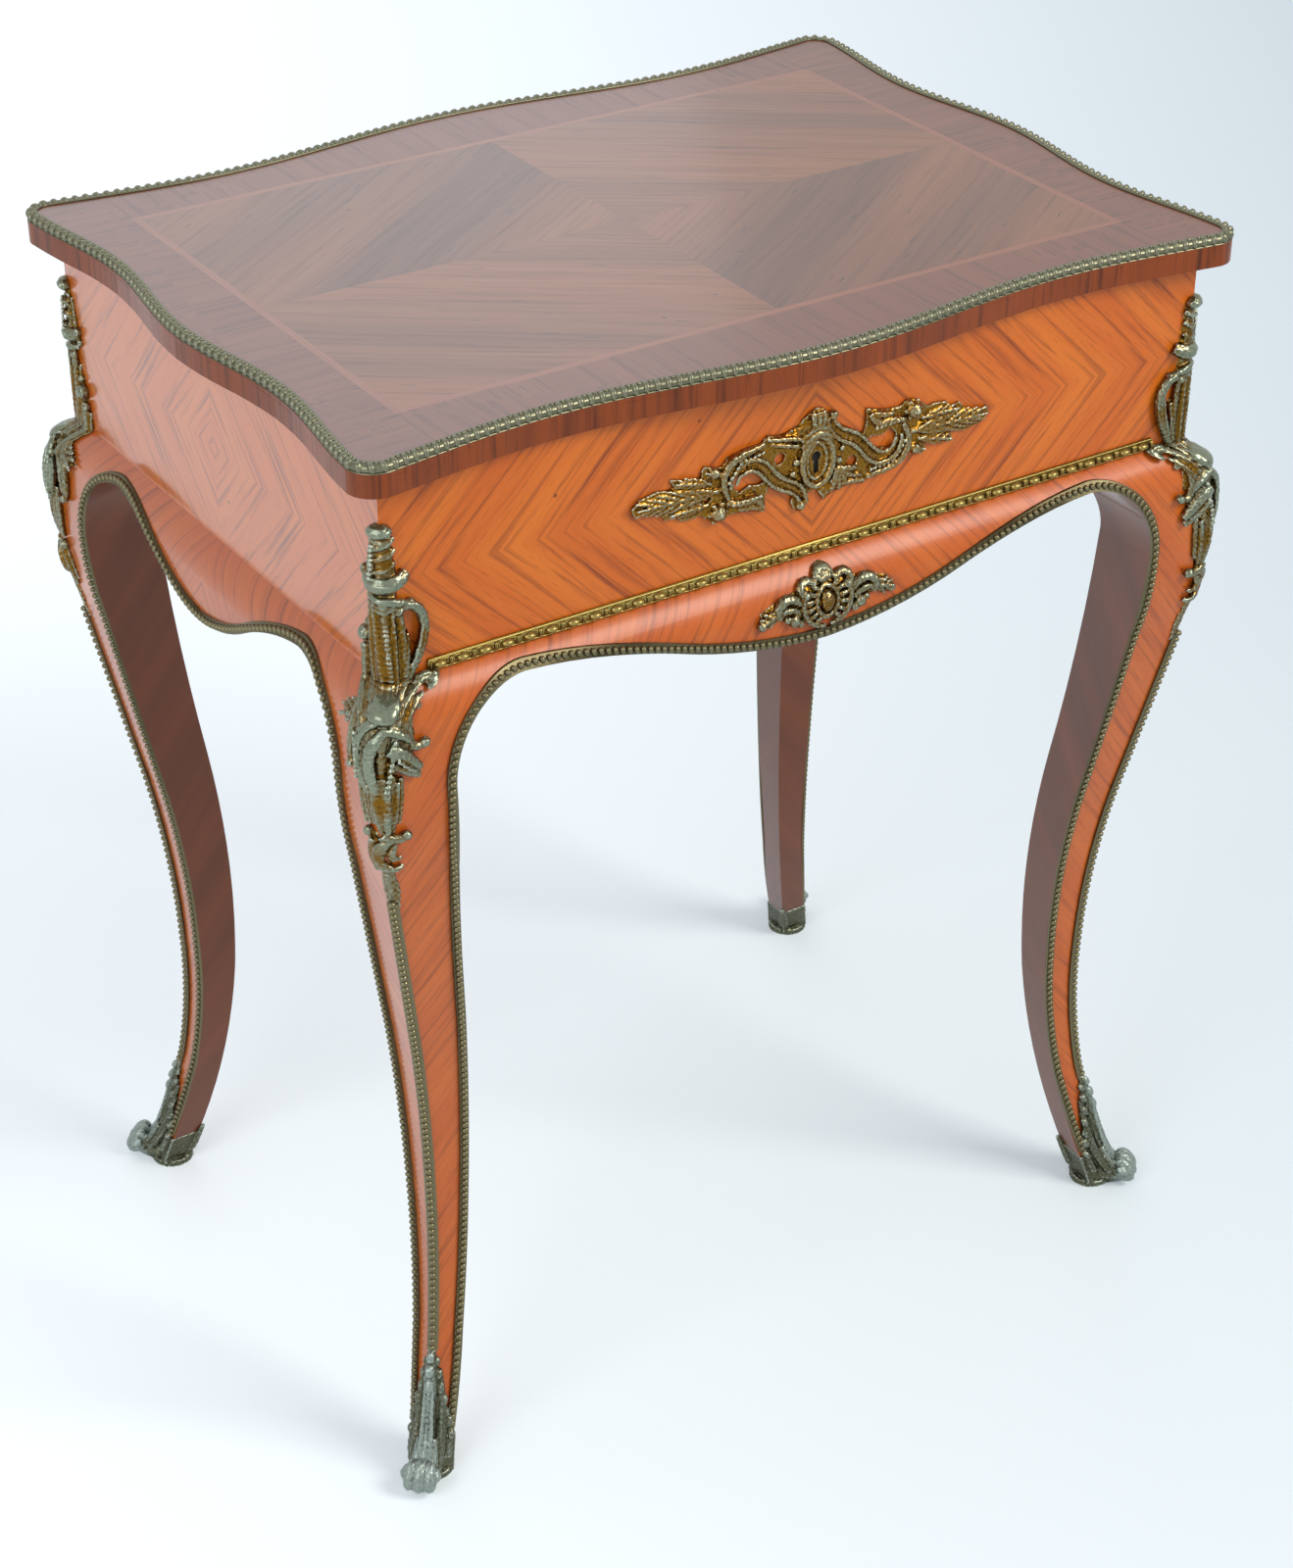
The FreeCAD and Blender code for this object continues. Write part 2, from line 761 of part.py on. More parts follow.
def keyhole(name):
    """The keyhole as one solid from the front through the rail."""
    middle = size(keyhole_height)
    radius, half = size("keyhole_radius"), size("keyhole_slot_width") / 2
    foot = middle - size("keyhole_slot_length")
    drop = math.sqrt(radius ** 2 - half ** 2)
    left, right = Vector(-half, 0, middle - drop), Vector(half, 0, middle - drop)
    edges = [Part.Arc(left, Vector(0, 0, middle + radius), right).toShape()]
    edges += lines("XZ", [(half, middle - drop), (half, foot), (-half, foot), (-half, middle - drop)])
    return extrude(name, face(name + "_outline", edges), -FRONT_BACK, "case_depth")


rail_keyhole = keyhole("rail_keyhole")


# Hinges: two butt hinges whose leaves are let in flush, with the pins behind the back

hinge_y = "(case_depth/2 + hinge_gap + knuckle_radius)"
knuckle_pitch = "hinge_length/2"


def knuckle_rectangles(numbers):
    """Where the other leaf's knuckles turn, counted from the left."""
    places = []
    for number in numbers:
        left = "%s*(%s) - hinge_length/2 - knuckle_gap" % (number, knuckle_pitch)
        right = "%s*(%s) - hinge_length/2 + knuckle_gap" % (number + 1, knuckle_pitch)
        reach = "(knuckle_radius + knuckle_clearance)"
        places.append(rectangle(left, right, "-" + reach, reach))
    return places


def hinge_leaf(name, others, below, x):
    body = doc.addObject("PartDesign::Body", name + "_body")
    place(body, x, hinge_y, "case_top")
    half = "hinge_length/2"
    plate = sketch_on(body, "XY_Plane", name + "_plate", [rectangle("-" + half, half, "-leaf_depth", "0")])
    pad(body, plate, "leaf_thickness", reverse=below)
    ring = ("0", "0", "knuckle_radius")
    pad(body, sketch_on(body, "YZ_Plane", name + "_barrel", circles=[ring]), "hinge_length", middle=True)
    gaps = sketch_on(body, "XY_Plane", name + "_gaps", knuckle_rectangles(others))
    pocket(body, gaps, "4*knuckle_radius", middle=True)
    bore = ("0", "0", "pin_radius + pin_clearance")
    pocket(body, sketch_on(body, "YZ_Plane", name + "_bore", circles=[bore]), "2*hinge_length", middle=True)
    return body


case_recesses, lid_recesses = [], []
for side, x in (("left", "-hinge_offset"), ("right", "hinge_offset")):
    case_leaf = hinge_leaf("case_leaf_" + side, (1,), True, x)
    lid_leaf = hinge_leaf("lid_leaf_" + side, (0,), False, x)
    node("hinge_case_leaf_" + side, case_leaf)
    node("hinge_lid_leaf_" + side, lid_leaf)
    pin = doc.addObject("Part::Cylinder", "pin_" + side)
    bind(pin, "Radius", "pin_radius")
    bind(pin, "Height", "hinge_length")
    pin.Placement = Placement(Vector(0, 0, 0), Rotation(FRONT_BACK, 90))
    node("hinge_pin_" + side, place(pin, x + " - hinge_length/2", hinge_y, "case_top"))
    leaf_y = hinge_y + " - leaf_depth"
    case_recesses.append(box("case_recess_" + side, "hinge_length", "leaf_depth", "leaf_thickness",
                             x + " - hinge_length/2", leaf_y, "case_top - leaf_thickness"))
    lid_recesses.append(box("lid_recess_" + side, "hinge_length", "leaf_depth", "leaf_thickness",
                            x + " - hinge_length/2", leaf_y, "case_top"))
    groove = doc.addObject("Part::Cylinder", "knuckle_groove_" + side)
    bind(groove, "Radius", "knuckle_radius + knuckle_clearance")
    bind(groove, "Height", "hinge_length + 2*knuckle_clearance")
    groove.Placement = Placement(Vector(0, 0, 0), Rotation(FRONT_BACK, 90))
    lid_recesses.append(place(groove, x + " - hinge_length/2 - knuckle_clearance", hinge_y, "case_top"))


# Frieze rails, tenoned into the posts

def rail(plane):
    inner = wood_face(OTHER[plane]) + " - rail_thickness"
    bar = wall_box("rail_bar_" + plane, plane, "-" + shoulder(plane), "2*" + shoulder(plane), inner,
                   "rail_thickness", "frieze_bottom", "case_top - frieze_bottom")
    tenon = rail_tenon("rail_tenon_" + plane, plane)
    far_tenon = mirror("rail_far_tenon_" + plane, tenon, THROUGH[OTHER[plane]])
    return cut("rail_" + plane, fuse("rail_solid_" + plane, bar, tenon, far_tenon), well_blank)


back_blank = rail("XZ")
front_blank = mirror("rail_to_front", back_blank, FRONT_BACK)
node("frieze_rail_back", cut("rail_with_hinges", back_blank, *case_recesses))
node("frieze_rail_front", cut("rail_with_lock", front_blank, lock_recess, rail_keyhole))
rail_right = node("frieze_rail_right", rail("YZ"))
node("frieze_rail_left", mirror("rail_to_left", rail_right, LEFT_RIGHT))


# Frieze veneer, four leaves to a side about the middle of its length and its height

def frieze_leaves(plane):
    half = {"XZ": "case_width/2", "YZ": wood_face("YZ")}[plane]
    leaf_height = "(case_top - frieze_bottom)/2"
    leaves = []
    for number, (along, bottom) in enumerate((("-" + half, "frieze_bottom"), ("0", "frieze_bottom"),
                                              ("-" + half, keyhole_height), ("0", keyhole_height))):
        name = "veneer_leaf_%s_%d" % (plane, number)
        leaves.append(wall_box(name, plane, along, half, wood_face(OTHER[plane]), "frieze_veneer",
                               bottom, leaf_height))
    return leaves


back_leaves = frieze_leaves("XZ")
recessed = [cut("%s_recessed" % leaf.Name, leaf, *case_recesses) for leaf in back_leaves[2:]]
node("frieze_veneer_back", group("veneer_back", *back_leaves[:2], *recessed))
front_leaves = [mirror("%s_to_front" % leaf.Name, leaf, FRONT_BACK) for leaf in back_leaves]
pierced = [cut("%s_pierced" % leaf.Name, leaf, rail_keyhole) for leaf in front_leaves]
node("frieze_veneer_front", group("veneer_front", *pierced))
veneer_right = node("frieze_veneer_right", group("veneer_right", *frieze_leaves("YZ")))
node("frieze_veneer_left", mirror("veneer_to_left", veneer_right, LEFT_RIGHT))


# Dividers of the well, standing on its bottom

divider_bottom = "frieze_bottom + bottom_rise + bottom_thickness"
divider_height = "case_top - divider_drop - (%s)" % divider_bottom
divider_right = box("divider_right", "divider_thickness", "2*" + inside_y, divider_height,
                    "divider_offset - divider_thickness/2", "-" + inside_y, divider_bottom)
node("divider_right", divider_right)
node("divider_left", mirror("divider_to_left", divider_right, LEFT_RIGHT))
node("divider_middle", box("divider_middle", "2*divider_offset - divider_thickness",
                           "divider_thickness", divider_height,
                           "divider_thickness/2 - divider_offset",
                           "cross_divider_offset - divider_thickness/2", divider_bottom))


# Brass edging: one strip to a side, down the leg, round the arches and along the apron

def beside(points, distance):
    """The line at a distance to the right of a line of points."""
    moved = []
    for index, (across, height) in enumerate(points):
        before = points[max(index - 1, 0)]
        after = points[min(index + 1, len(points) - 1)]
        run, rise = after[0] - before[0], after[1] - before[1]
        length = math.hypot(run, rise)
        moved.append((across + distance * rise / length, height - distance * run / length))
    return moved


def edging(plane):
    low = size("edging_bottom")
    edge = both_halves(leg_inner(plane, low)[:-1] + underside(plane))
    back = beside(edge, size("edging_width"))
    outline = plane_arcs(plane, edge) + plane_arcs(plane, back)
    outline += [line(plane, edge[0], back[0]), line(plane, edge[-1], back[-1])]
    elevation = through(face("edging_outline_" + plane, outline), plane)
    other = OTHER[plane]
    skin = face("edging_skin_" + plane, band_edges(other, 0, size("strip_thickness"),
                                                   size("sole_thickness"), size("frieze_bottom")))
    sheet_of_brass = extrude("edging_sheet_" + plane, skin, THROUGH[other],
                             SPAN[plane], SPAN[plane])
    return common("edging_" + plane, elevation, sheet_of_brass)


edging_back = node("apron_edging_back", edging("XZ"))
node("apron_edging_front", mirror("edging_to_front", edging_back, FRONT_BACK))
edging_right = node("apron_edging_right", edging("YZ"))
node("apron_edging_left", mirror("edging_to_left", edging_right, LEFT_RIGHT))


# Bead strips down the legs' outer corners, from the corner mounts to the sabots

def corner_strip():
    low, high = size("sabot_height"), size("mount_bottom")
    bands = [band("strip_band_" + plane, plane, -size("strip_leg"), size("strip_thickness"), low, high)
             for plane in ("XZ", "YZ")]
    return cut("corner_strip", common("strip_solid", *bands), leg)


four_corners("corner_strip", corner_strip())


# Corner mounts, each cut to seat on the swelling corner. A row is a share of the mount's
# height, and shares of its reach along the front or back face and along the side face.
mount_shares = (
    (0.0, 0.1, 0.1),
    (0.12, 0.3, 0.34),
    (0.165, 0.23, 0.2),
    (0.25, 0.36, 0.34),
    (0.355, 0.5, 0.55),
    (0.4, 0.82, 0.7),
    (0.475, 0.84, 1.0),
    (0.565, 0.8, 0.62),
    (0.62, 0.56, 0.42),
    (0.7, 0.76, 0.5),
    (0.76, 0.4, 0.33),
    (0.85, 0.3, 0.26),
    (1.0, 0.16, 0.14),
)
backing_share = 0.25


def mount_plate(plane, column, reach):
    """The half of a mount on one face: its outline there, and the curve of that face."""
    low, high = size("mount_bottom"), size("mount_top")
    thickness = size("mount_thickness")
    backing = -backing_share * thickness
    silhouette = []
    for row in mount_shares:
        height = low + row[0] * (high - low)
        silhouette.append((outer(plane, height) - row[column] * size(reach), height))
    edges = lines(plane, silhouette) + chords(plane, thickness, low, high)
    for across, height in (silhouette[0], silhouette[-1]):
        edges.append(line(plane, (across, height), outer_end(plane, thickness, height)))
    outline = through(face("mount_outline_" + plane, edges), plane)
    other = OTHER[plane]
    skin = plain_band("mount_skin_" + plane, other, backing, thickness, low, high)
    return common("mount_plate_" + plane, outline, skin)


def rosette():
    """The round boss between the volutes, turned outwards from the corner."""
    level = size("rosette_height")
    boss = doc.addObject("Part::Cone", "rosette")
    bind(boss, "Radius1", "rosette_radius")
    bind(boss, "Radius2", "rosette_radius/2")
    bind(boss, "Height", "2*rosette_projection")
    outward = Rotation(Vector(0, 0, 1), Vector(1, 1, 0))
    start = Vector(outer("XZ", level), outer("YZ", level), level)
    start -= Vector(1, 1, 0).normalize() * size("rosette_projection")
    boss.Placement = Placement(start, outward)
    return boss


def finial():
    """The knob on top of the mount, standing on the corner of the frieze."""
    knob = doc.addObject("Part::Cone", "finial")
    bind(knob, "Radius1", "finial_radius")
    bind(knob, "Radius2", "finial_radius/2")
    bind(knob, "Height", "finial_length")
    return place(knob, "case_width/2", "case_depth/2", "mount_top - finial_length")


def knee_envelope():
    """The wood of one corner with its veneer on, for cutting what sits on it."""
    low, high = size("mount_bottom - knee_width"), size("case_top")
    runs = []
    for plane in ("XZ", "YZ"):
        inner = size(shoulder(plane))
        edges = outer_edges(plane, 0, low, high)
        edges += lines(plane, [outer_end(plane, 0, high), (inner, high), (inner, low),
                               outer_end(plane, 0, low)])
        runs.append(through(face("envelope_" + plane, edges), plane))
    return common("knee_envelope", *runs)


def corner_mount():
    solid = fuse("mount_solid", mount_plate("XZ", 1, "mount_front_reach"),
                 mount_plate("YZ", 2, "mount_side_reach"), rosette(), finial())
    return cut("corner_mount", solid, knee_envelope())


four_corners("corner_mount", corner_mount())


# Sabots: a cuff round the foot, leaves up its outer faces, a scrolled toe and a round sole.
# A row is a share of the sabot's height and a share of the foot's width.
leaf_shares = (
    (0.08, 0.95),
    (0.2, 0.9),
    (0.3, 0.8),
    (0.38, 0.66),
    (0.5, 0.68),
    (0.62, 0.5),
    (0.75, 0.42),
    (0.88, 0.24),
    (1.0, 0.1),
)
# The toe's outline in the upright plane through the leg's corner: shares of its length
# and of its height, from where it leaves the cuff.
toe_shares = (
    (-0.6, 0.06),
    (0.3, 0.03),
    (0.75, 0.09),
    (1.0, 0.28),
    (0.92, 0.5),
    (0.55, 0.6),
    (0.25, 0.56),
    (0.1, 0.75),
    (-0.1, 1.0),
    (-0.35, 1.02),
    (-0.6, 0.95),
)


def sabot_leaf(plane):
    high = size("sabot_height")
    low = leaf_shares[0][0] * high
    thickness = size("sabot_leaf_thickness")
    silhouette = [(outer(plane, row[0] * high) - row[1] * size("foot_width"), row[0] * high)
                  for row in leaf_shares]
    edges = lines(plane, silhouette) + chords(plane, thickness, low, high)
    for across, height in (silhouette[0], silhouette[-1]):
        edges.append(line(plane, (across, height), outer_end(plane, thickness, height)))
    outline = through(face("sabot_outline_" + plane, edges), plane)
    skin = plain_band("sabot_skin_" + plane, OTHER[plane], -backing_share * thickness, thickness,
                      low, high)
    return common("sabot_leaf_" + plane, outline, skin)


def sabot_cuff():
    low, high, rim = size("sole_thickness"), size("cuff_height"), size("cuff_thickness")
    runs = []
    for plane in ("XZ", "YZ"):
        left = [(outer(plane, height) - leg_width(height) - rim, height) for height in (low, high)]
        right = [outer_end(plane, rim, height) for height in (low, high)]
        corners = [left[0], right[0], right[1], left[1], left[0]]
        runs.append(through(face("cuff_outline_" + plane, lines(plane, corners)), plane))
    return common("sabot_cuff", *runs)


def sabot_toe():
    level = size("cuff_height")
    corner = Vector(outer("XZ", level), outer("YZ", level), 0)
    outward = Vector(1, 1, 0).normalize()
    points = [corner + outward * (share * size("toe_length")) + Vector(0, 0, rise * size("toe_height"))
              for share, rise in toe_shares]
    edges = [Part.LineSegment(a, b).toShape() for a, b in zip(points, points[1:] + points[:1])]
    return extrude("sabot_toe", face("toe_outline", edges), Vector(1, -1, 0).normalize(),
                   "toe_width/2", "toe_width/2")


def sabot():
    sole = doc.addObject("Part::Prism", "sabot_sole")
    sole.Polygon = 20
    bind(sole, "Circumradius", "sole_radius")
    bind(sole, "Height", "sole_thickness")
    low = size("sole_thickness")
    middles = [outer(plane, low) - leg_width(low) / 2 for plane in ("XZ", "YZ")]
    sole.Placement = Placement(Vector(*middles, 0), Rotation())
    solid = fuse("sabot_solid", sole, sabot_cuff(), sabot_leaf("XZ"), sabot_leaf("YZ"), sabot_toe())
    return cut("sabot", solid, leg)


four_corners("sabot", sabot())


# Moulding across the bottom of the front frieze, between the corner mounts

def frieze_moulding():
    wall, low = size("case_depth") / 2, size("frieze_bottom")
    high = low + size("moulding_height")
    crown = Vector(0, -wall - size("moulding_projection"), (low + high) / 2)
    edges = [Part.Arc(Vector(0, -wall, low), crown, Vector(0, -wall, high)).toShape(),
             line("YZ", (-wall, low), (-wall, high))]
    half = "case_width/2 - moulding_return"
    return extrude("frieze_moulding", face("moulding_section", edges), LEFT_RIGHT, half, half)


node("frieze_moulding", frieze_moulding())

# Pierced escutcheon. Half its outline, from the top round the left to the bottom, in shares
# of its half length and half height; the other half is the same turned half round.
escutcheon_shares = (
    (0.01, 1.0), (-0.04, 0.9), (-0.06, 0.74), (-0.14, 0.72), (-0.22, 0.81), (-0.27, 0.68),
    (-0.36, 0.66), (-0.46, 0.55), (-0.53, 0.46), (-0.58, 0.56), (-0.61, 0.34), (-0.7, 0.4),
    (-0.78, 0.46), (-0.76, 0.26), (-0.86, 0.28), (-0.96, 0.24), (-1.0, 0.06), (-0.93, 0.0),
    (-0.85, -0.15), (-0.79, -0.32), (-0.73, -0.26), (-0.66, -0.42), (-0.58, -0.4),
    (-0.5, -0.64), (-0.42, -0.56), (-0.32, -0.62), (-0.24, -0.7), (-0.22, -0.34),
    (-0.13, -0.46), (-0.09, -0.62), (-0.09, -0.78), (-0.04, -0.93),
)
scroll_hole_shares = (0.33, 0.0, 0.085, 0.2)
leaf_hole_shares = (0.62, -0.02, 0.05, 0.12)


def oval(middle, along, up):
    """An oval in a front elevation, with ten corners."""
    turns = [2 * math.pi * step / 10 for step in range(10)]
    spots = [middle + Vector(along * math.cos(turn), 0, up * math.sin(turn)) for turn in turns]
    return closed(spots)


def closed(spots):
    return [Part.LineSegment(a, b).toShape() for a, b in zip(spots, spots[1:] + spots[:1])]


def escutcheon():
    length, height = size("escutcheon_half_length"), size("escutcheon_half_height")
    middle = Vector(0, 0, size(keyhole_height))
    left = [Vector(share * length, 0, rise * height) for share, rise in escutcheon_shares]
    spots = [middle + spot for spot in left] + [middle - spot for spot in left]
    holes = []
    for shares in (scroll_hole_shares, leaf_hole_shares):
        for side in (1, -1):
            spot = Vector(shares[0] * length, 0, shares[1] * height) * side
            holes.append(oval(middle + spot, shares[2] * length, shares[3] * height))
    outline = face("escutcheon_outline", closed(spots), holes)
    plate = extrude("escutcheon_plate", outline, -FRONT_BACK, "escutcheon_thickness")
    place(plate, y="-case_depth/2")
    return cut("escutcheon", plate, keyhole("escutcheon_keyhole"))


node("escutcheon", escutcheon())

# Shell cartouche on the front apron, bent to the apron's swell, with an egg in the middle.
# The right half of its outline from the top to the bottom, in shares of its half sizes.
cartouche_shares = (
    (0.0, 1.0), (0.14, 0.88), (0.24, 0.6), (0.42, 0.74), (0.6, 0.48), (0.8, 0.52), (1.0, 0.16),
    (0.88, -0.12), (0.66, -0.18), (0.5, -0.58), (0.32, -0.66), (0.2, -0.96), (0.0, -0.86),
)


def cartouche():
    width, height = size("cartouche_half_width"), size("cartouche_half_height")
    level, thickness = size("cartouche_height"), size("cartouche_thickness")
    right = [(share * width, level + rise * height) for share, rise in cartouche_shares]
    left = [(-across, rise) for across, rise in reversed(right[1:-1])]
    outline = face("cartouche_outline", lines("XZ", right + left + right[:1]))
    skin = face("cartouche_band", band_edges("YZ", -backing_share * thickness, thickness,
                                             level - 2 * height, level + 2 * height))
    plate = common("cartouche_plate", through(outline, "XZ"),
                   extrude("cartouche_skin", skin, LEFT_RIGHT, "cartouche_half_width*2",
                           "cartouche_half_width*2"))
    egg_outline = oval(Vector(0, 0, level), size("egg_half_width"), size("egg_half_height"))
    egg = extrude("cartouche_egg", face("egg_outline", egg_outline), FRONT_BACK,
                  "egg_projection", "cartouche_thickness")
    egg.Placement = Placement(Vector(0, outer("YZ", level), 0), Rotation())
    return cut("cartouche", fuse("cartouche_solid", plate, egg), apron_back)


node("apron_cartouche", mirror("cartouche_to_front", cartouche(), FRONT_BACK))


# The lid's serpentine outline: two cosines, and round corners between them

def lid_outline(name, inset, level):
    """The lid's outline at one height as a face, drawn in by inset."""
    half_x, half_y = size("lid_half_width"), size("lid_half_depth")
    radius = size("lid_corner_radius")
    corner_x = half_x + size("side_wave") - radius
    corner_y = half_y + size("front_wave") / 2 - radius
    quarter = []
    for step in range(8):
        y = corner_y * step / 8
        turn = math.pi * y / (side_wave_share * half_y)
        out = half_x + size("side_wave") * math.cos(turn)
        quarter.append((out - inset, y))
    for turn in (0, math.pi / 4, math.pi / 2):
        quarter.append((corner_x + (radius - inset) * math.cos(turn),
                        corner_y + (radius - inset) * math.sin(turn)))
    for step in range(1, 9):
        x = corner_x * (1 - step / 8)
        turn = math.pi * x / (front_wave_share * half_x)
        out = half_y + size("front_wave") * math.cos(turn)
        quarter.append((x, out - inset))
    half = quarter + [(-x, y) for x, y in reversed(quarter[:-1])]
    whole = half + [(x, -y) for x, y in reversed(half[:-1])]
    return face(name, arcs([Vector(x, y, level) for x, y in whole]))


def lid_slab(name, inset, low, high):
    """A slab of the lid's outline between two heights."""
    outline = lid_outline(name + "_outline", size(inset), size(low))
    return extrude(name, outline, Vector(0, 0, 1), "%s - (%s)" % (high, low))


veneer_bottom = "case_top + lid_thickness - top_veneer"
veneer_top = "case_top + lid_thickness"
rim_top = "case_top + lid_thickness + rim_rise"
rim_bottom = "%s - rim_height" % rim_top
overall = lid_slab("lid_overall", "rim_width", "case_top", veneer_bottom)
node("lid_board", cut("lid_board", overall, strike_recess, *lid_recesses))
node("lid_edge_veneer", cut("lid_edge_veneer", lid_slab("edge_outside", "0", "case_top", rim_bottom),
                            lid_slab("edge_inside", "rim_width", "case_top", rim_bottom),
                            *lid_recesses))

# Rim moulding, standing a little above the veneer
node("rim_moulding", cut("rim_moulding", lid_slab("rim_outside", "0", rim_bottom, rim_top),
                         lid_slab("rim_inside", "rim_width", rim_bottom, rim_top)))


# The lid's veneer: a quartered field, a stringing line round it and cross-banding outside

def top_box(name, x, length, y, width):
    return box(name, length, width, "top_veneer", x, y, veneer_bottom)


field = [top_box("field_leaf_%d" % number, x, "field_half_width", y, "field_half_depth")
         for number, (x, y) in enumerate((("-field_half_width", "-field_half_depth"),
                                          ("0", "-field_half_depth"), ("-field_half_width", "0"),
                                          ("0", "0")))]
node("lid_field_veneer", group("field_veneer", *field))

line_x, line_y = "(field_half_width + stringing_width)", "(field_half_depth + stringing_width)"
string_back = top_box("string_back", "-" + line_x, "2*" + line_x, "field_half_depth", "stringing_width")
string_right = top_box("string_right", "field_half_width", "stringing_width", "-field_half_depth",
                       "2*field_half_depth")
node("lid_stringing", group("stringing", string_back, mirror("string_front", string_back, FRONT_BACK),
                            string_right, mirror("string_left", string_right, LEFT_RIGHT)))

veneer_sheet = lid_slab("veneer_sheet", "rim_width", veneer_bottom, veneer_top)
band_right = common("band_right", veneer_sheet, top_box("band_right_box", line_x, "lid_half_width",
                                                        "-2*lid_half_depth", "4*lid_half_depth"))
band_back = common("band_back", veneer_sheet, top_box("band_back_box", "-" + line_x, "2*" + line_x,
                                                      line_y, "lid_half_depth"))
node("lid_crossbanding", group("crossbanding", band_back, mirror("band_front", band_back, FRONT_BACK),
                               band_right, mirror("band_left", band_right, LEFT_RIGHT)))


# Mirror under the lid: the glass and a mitred frame rebated over its edge

sight_x = "(mirror_width/2 - mirror_frame_width)"
sight_y = "(mirror_depth/2 - mirror_frame_width)"
glass = box("mirror_glass", "2*(%s + mirror_rebate)" % sight_x, "2*(%s + mirror_rebate)" % sight_y,
            "glass_thickness", "-(%s + mirror_rebate)" % sight_x, "-(%s + mirror_rebate)" % sight_y,
            "case_top - glass_thickness")
node("mirror_glass", glass)


def frame_side(name, corners):
    """One mitred side of the mirror's frame, from the four corners of its plan."""
    level = size("case_top - mirror_frame_thickness")
    spots = [Vector(size(x), size(y), level) for x, y in corners]
    edges = [Part.LineSegment(a, b).toShape() for a, b in zip(spots, spots[1:] + spots[:1])]
    bar = extrude(name + "_bar", face(name + "_plan", edges), Vector(0, 0, 1), "mirror_frame_thickness")
    return cut(name, bar, glass)


outer_x, outer_y = "mirror_width/2", "mirror_depth/2"
frame_back = frame_side("frame_back", (("-" + outer_x, outer_y), (outer_x, outer_y),
                                       (sight_x, sight_y), ("-" + sight_x, sight_y)))
frame_right = frame_side("frame_right", ((outer_x, "-" + outer_y), (outer_x, outer_y),
                                         (sight_x, sight_y), (sight_x, "-" + sight_y)))
node("mirror_frame", group("mirror_frame", frame_back, mirror("frame_front", frame_back, FRONT_BACK),
                           frame_right, mirror("frame_left", frame_right, LEFT_RIGHT)))

# Check every feature and write each piece
doc.recompute()
for thing in doc.Objects:
    if "Invalid" in thing.State or "Error" in thing.State:
        raise RuntimeError("%s failed: %s" % (thing.Name, thing.State))
os.makedirs("parts", exist_ok=True)
for thing in nodes:
    shape = thing.Shape
    if shape.isNull() or not shape.isValid() or not shape.Solids:
        raise RuntimeError("%s has no valid solid" % thing.Label)
    shape.exportStep("parts/%s.step" % thing.Label)
    print("%-26s %d solids, %.0f mm3" % (thing.Label, len(shape.Solids), shape.Volume))
print(len(nodes), "pieces")
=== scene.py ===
import math

import bmesh
import bpy
import numpy as np
from mathutils import Matrix, Vector
from mathutils.bvhtree import BVHTree


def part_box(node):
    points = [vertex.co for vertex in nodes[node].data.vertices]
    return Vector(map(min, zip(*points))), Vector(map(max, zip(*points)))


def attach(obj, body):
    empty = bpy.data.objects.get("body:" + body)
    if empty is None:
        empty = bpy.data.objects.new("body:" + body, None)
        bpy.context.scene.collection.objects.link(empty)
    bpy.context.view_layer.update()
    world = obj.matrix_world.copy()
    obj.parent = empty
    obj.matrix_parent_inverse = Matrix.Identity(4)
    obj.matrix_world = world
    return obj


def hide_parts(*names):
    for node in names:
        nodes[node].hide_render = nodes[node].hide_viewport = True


# A lift-top dressing table in the taste of the mid eighteenth century: quartered kingwood on an
# oak carcase, four cabriole legs, and cast and chased brass mounts gone green with age.
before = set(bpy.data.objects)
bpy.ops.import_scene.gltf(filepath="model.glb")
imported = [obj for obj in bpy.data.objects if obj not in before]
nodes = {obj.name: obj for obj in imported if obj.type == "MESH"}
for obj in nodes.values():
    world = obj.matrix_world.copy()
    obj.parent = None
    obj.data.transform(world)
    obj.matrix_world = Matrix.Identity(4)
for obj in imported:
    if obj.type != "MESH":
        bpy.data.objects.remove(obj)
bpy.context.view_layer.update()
scene = bpy.context.scene
scene.view_settings.view_transform = "Standard"

# Camera: a long lens on a stand at the front left, looking down on the lid. Its place, its
# direction and its length are the ones that lay the model over the photograph.
CAMERA_PLACE = (-0.98651, -1.54902, 1.46743)
CAMERA_LOOK = (0.46161, 0.71392, -0.52653)
LENS, SENSOR, NEAREST = 72.6, 36, 0.05
camera = bpy.data.objects.new("camera", bpy.data.cameras.new("camera"))
scene.collection.objects.link(camera)
scene.camera = camera
camera.data.lens = LENS
camera.data.sensor_width = SENSOR
camera.data.clip_start = NEAREST
camera.location = CAMERA_PLACE
camera.rotation_euler = Vector(CAMERA_LOOK).to_track_quat("-Z", "Y").to_euler()

# Floor: a seamless sheet of matt white studio paper. Its colour is painted from a warm white on the left
# to a grey blue on the right: painted shade where the light falls off. The camera, reflections and
# glass see it lifted towards a clean white, more to the left and further back: painted light where
# the lamps reach less.
FLOOR_SIZE = 8.0
VIEW_X, VIEW_Y = 0.54, 0.84
CLOUDS_A_METRE = 1.3
PAPER_WARM, PAPER_PAINTED_SHADE, PAPER_LIFTED = "#F4FAFC", "#CFDDE4", "#F4F9FF"
LIFT_LEFT, LIFT_RIGHT, LIFT_A_METRE = 0.38, 0.10, 0.07
CLOUD_DRIFT = 0.2


def linear(code):
    """An sRGB hex colour as the linear colour a socket wants."""
    parts = [int(code[i:i + 2], 16) / 255 for i in (1, 3, 5)]
    return [c / 12.92 if c <= 0.04045 else ((c + 0.055) / 1.055) ** 2.4 for c in parts] + [1.0]


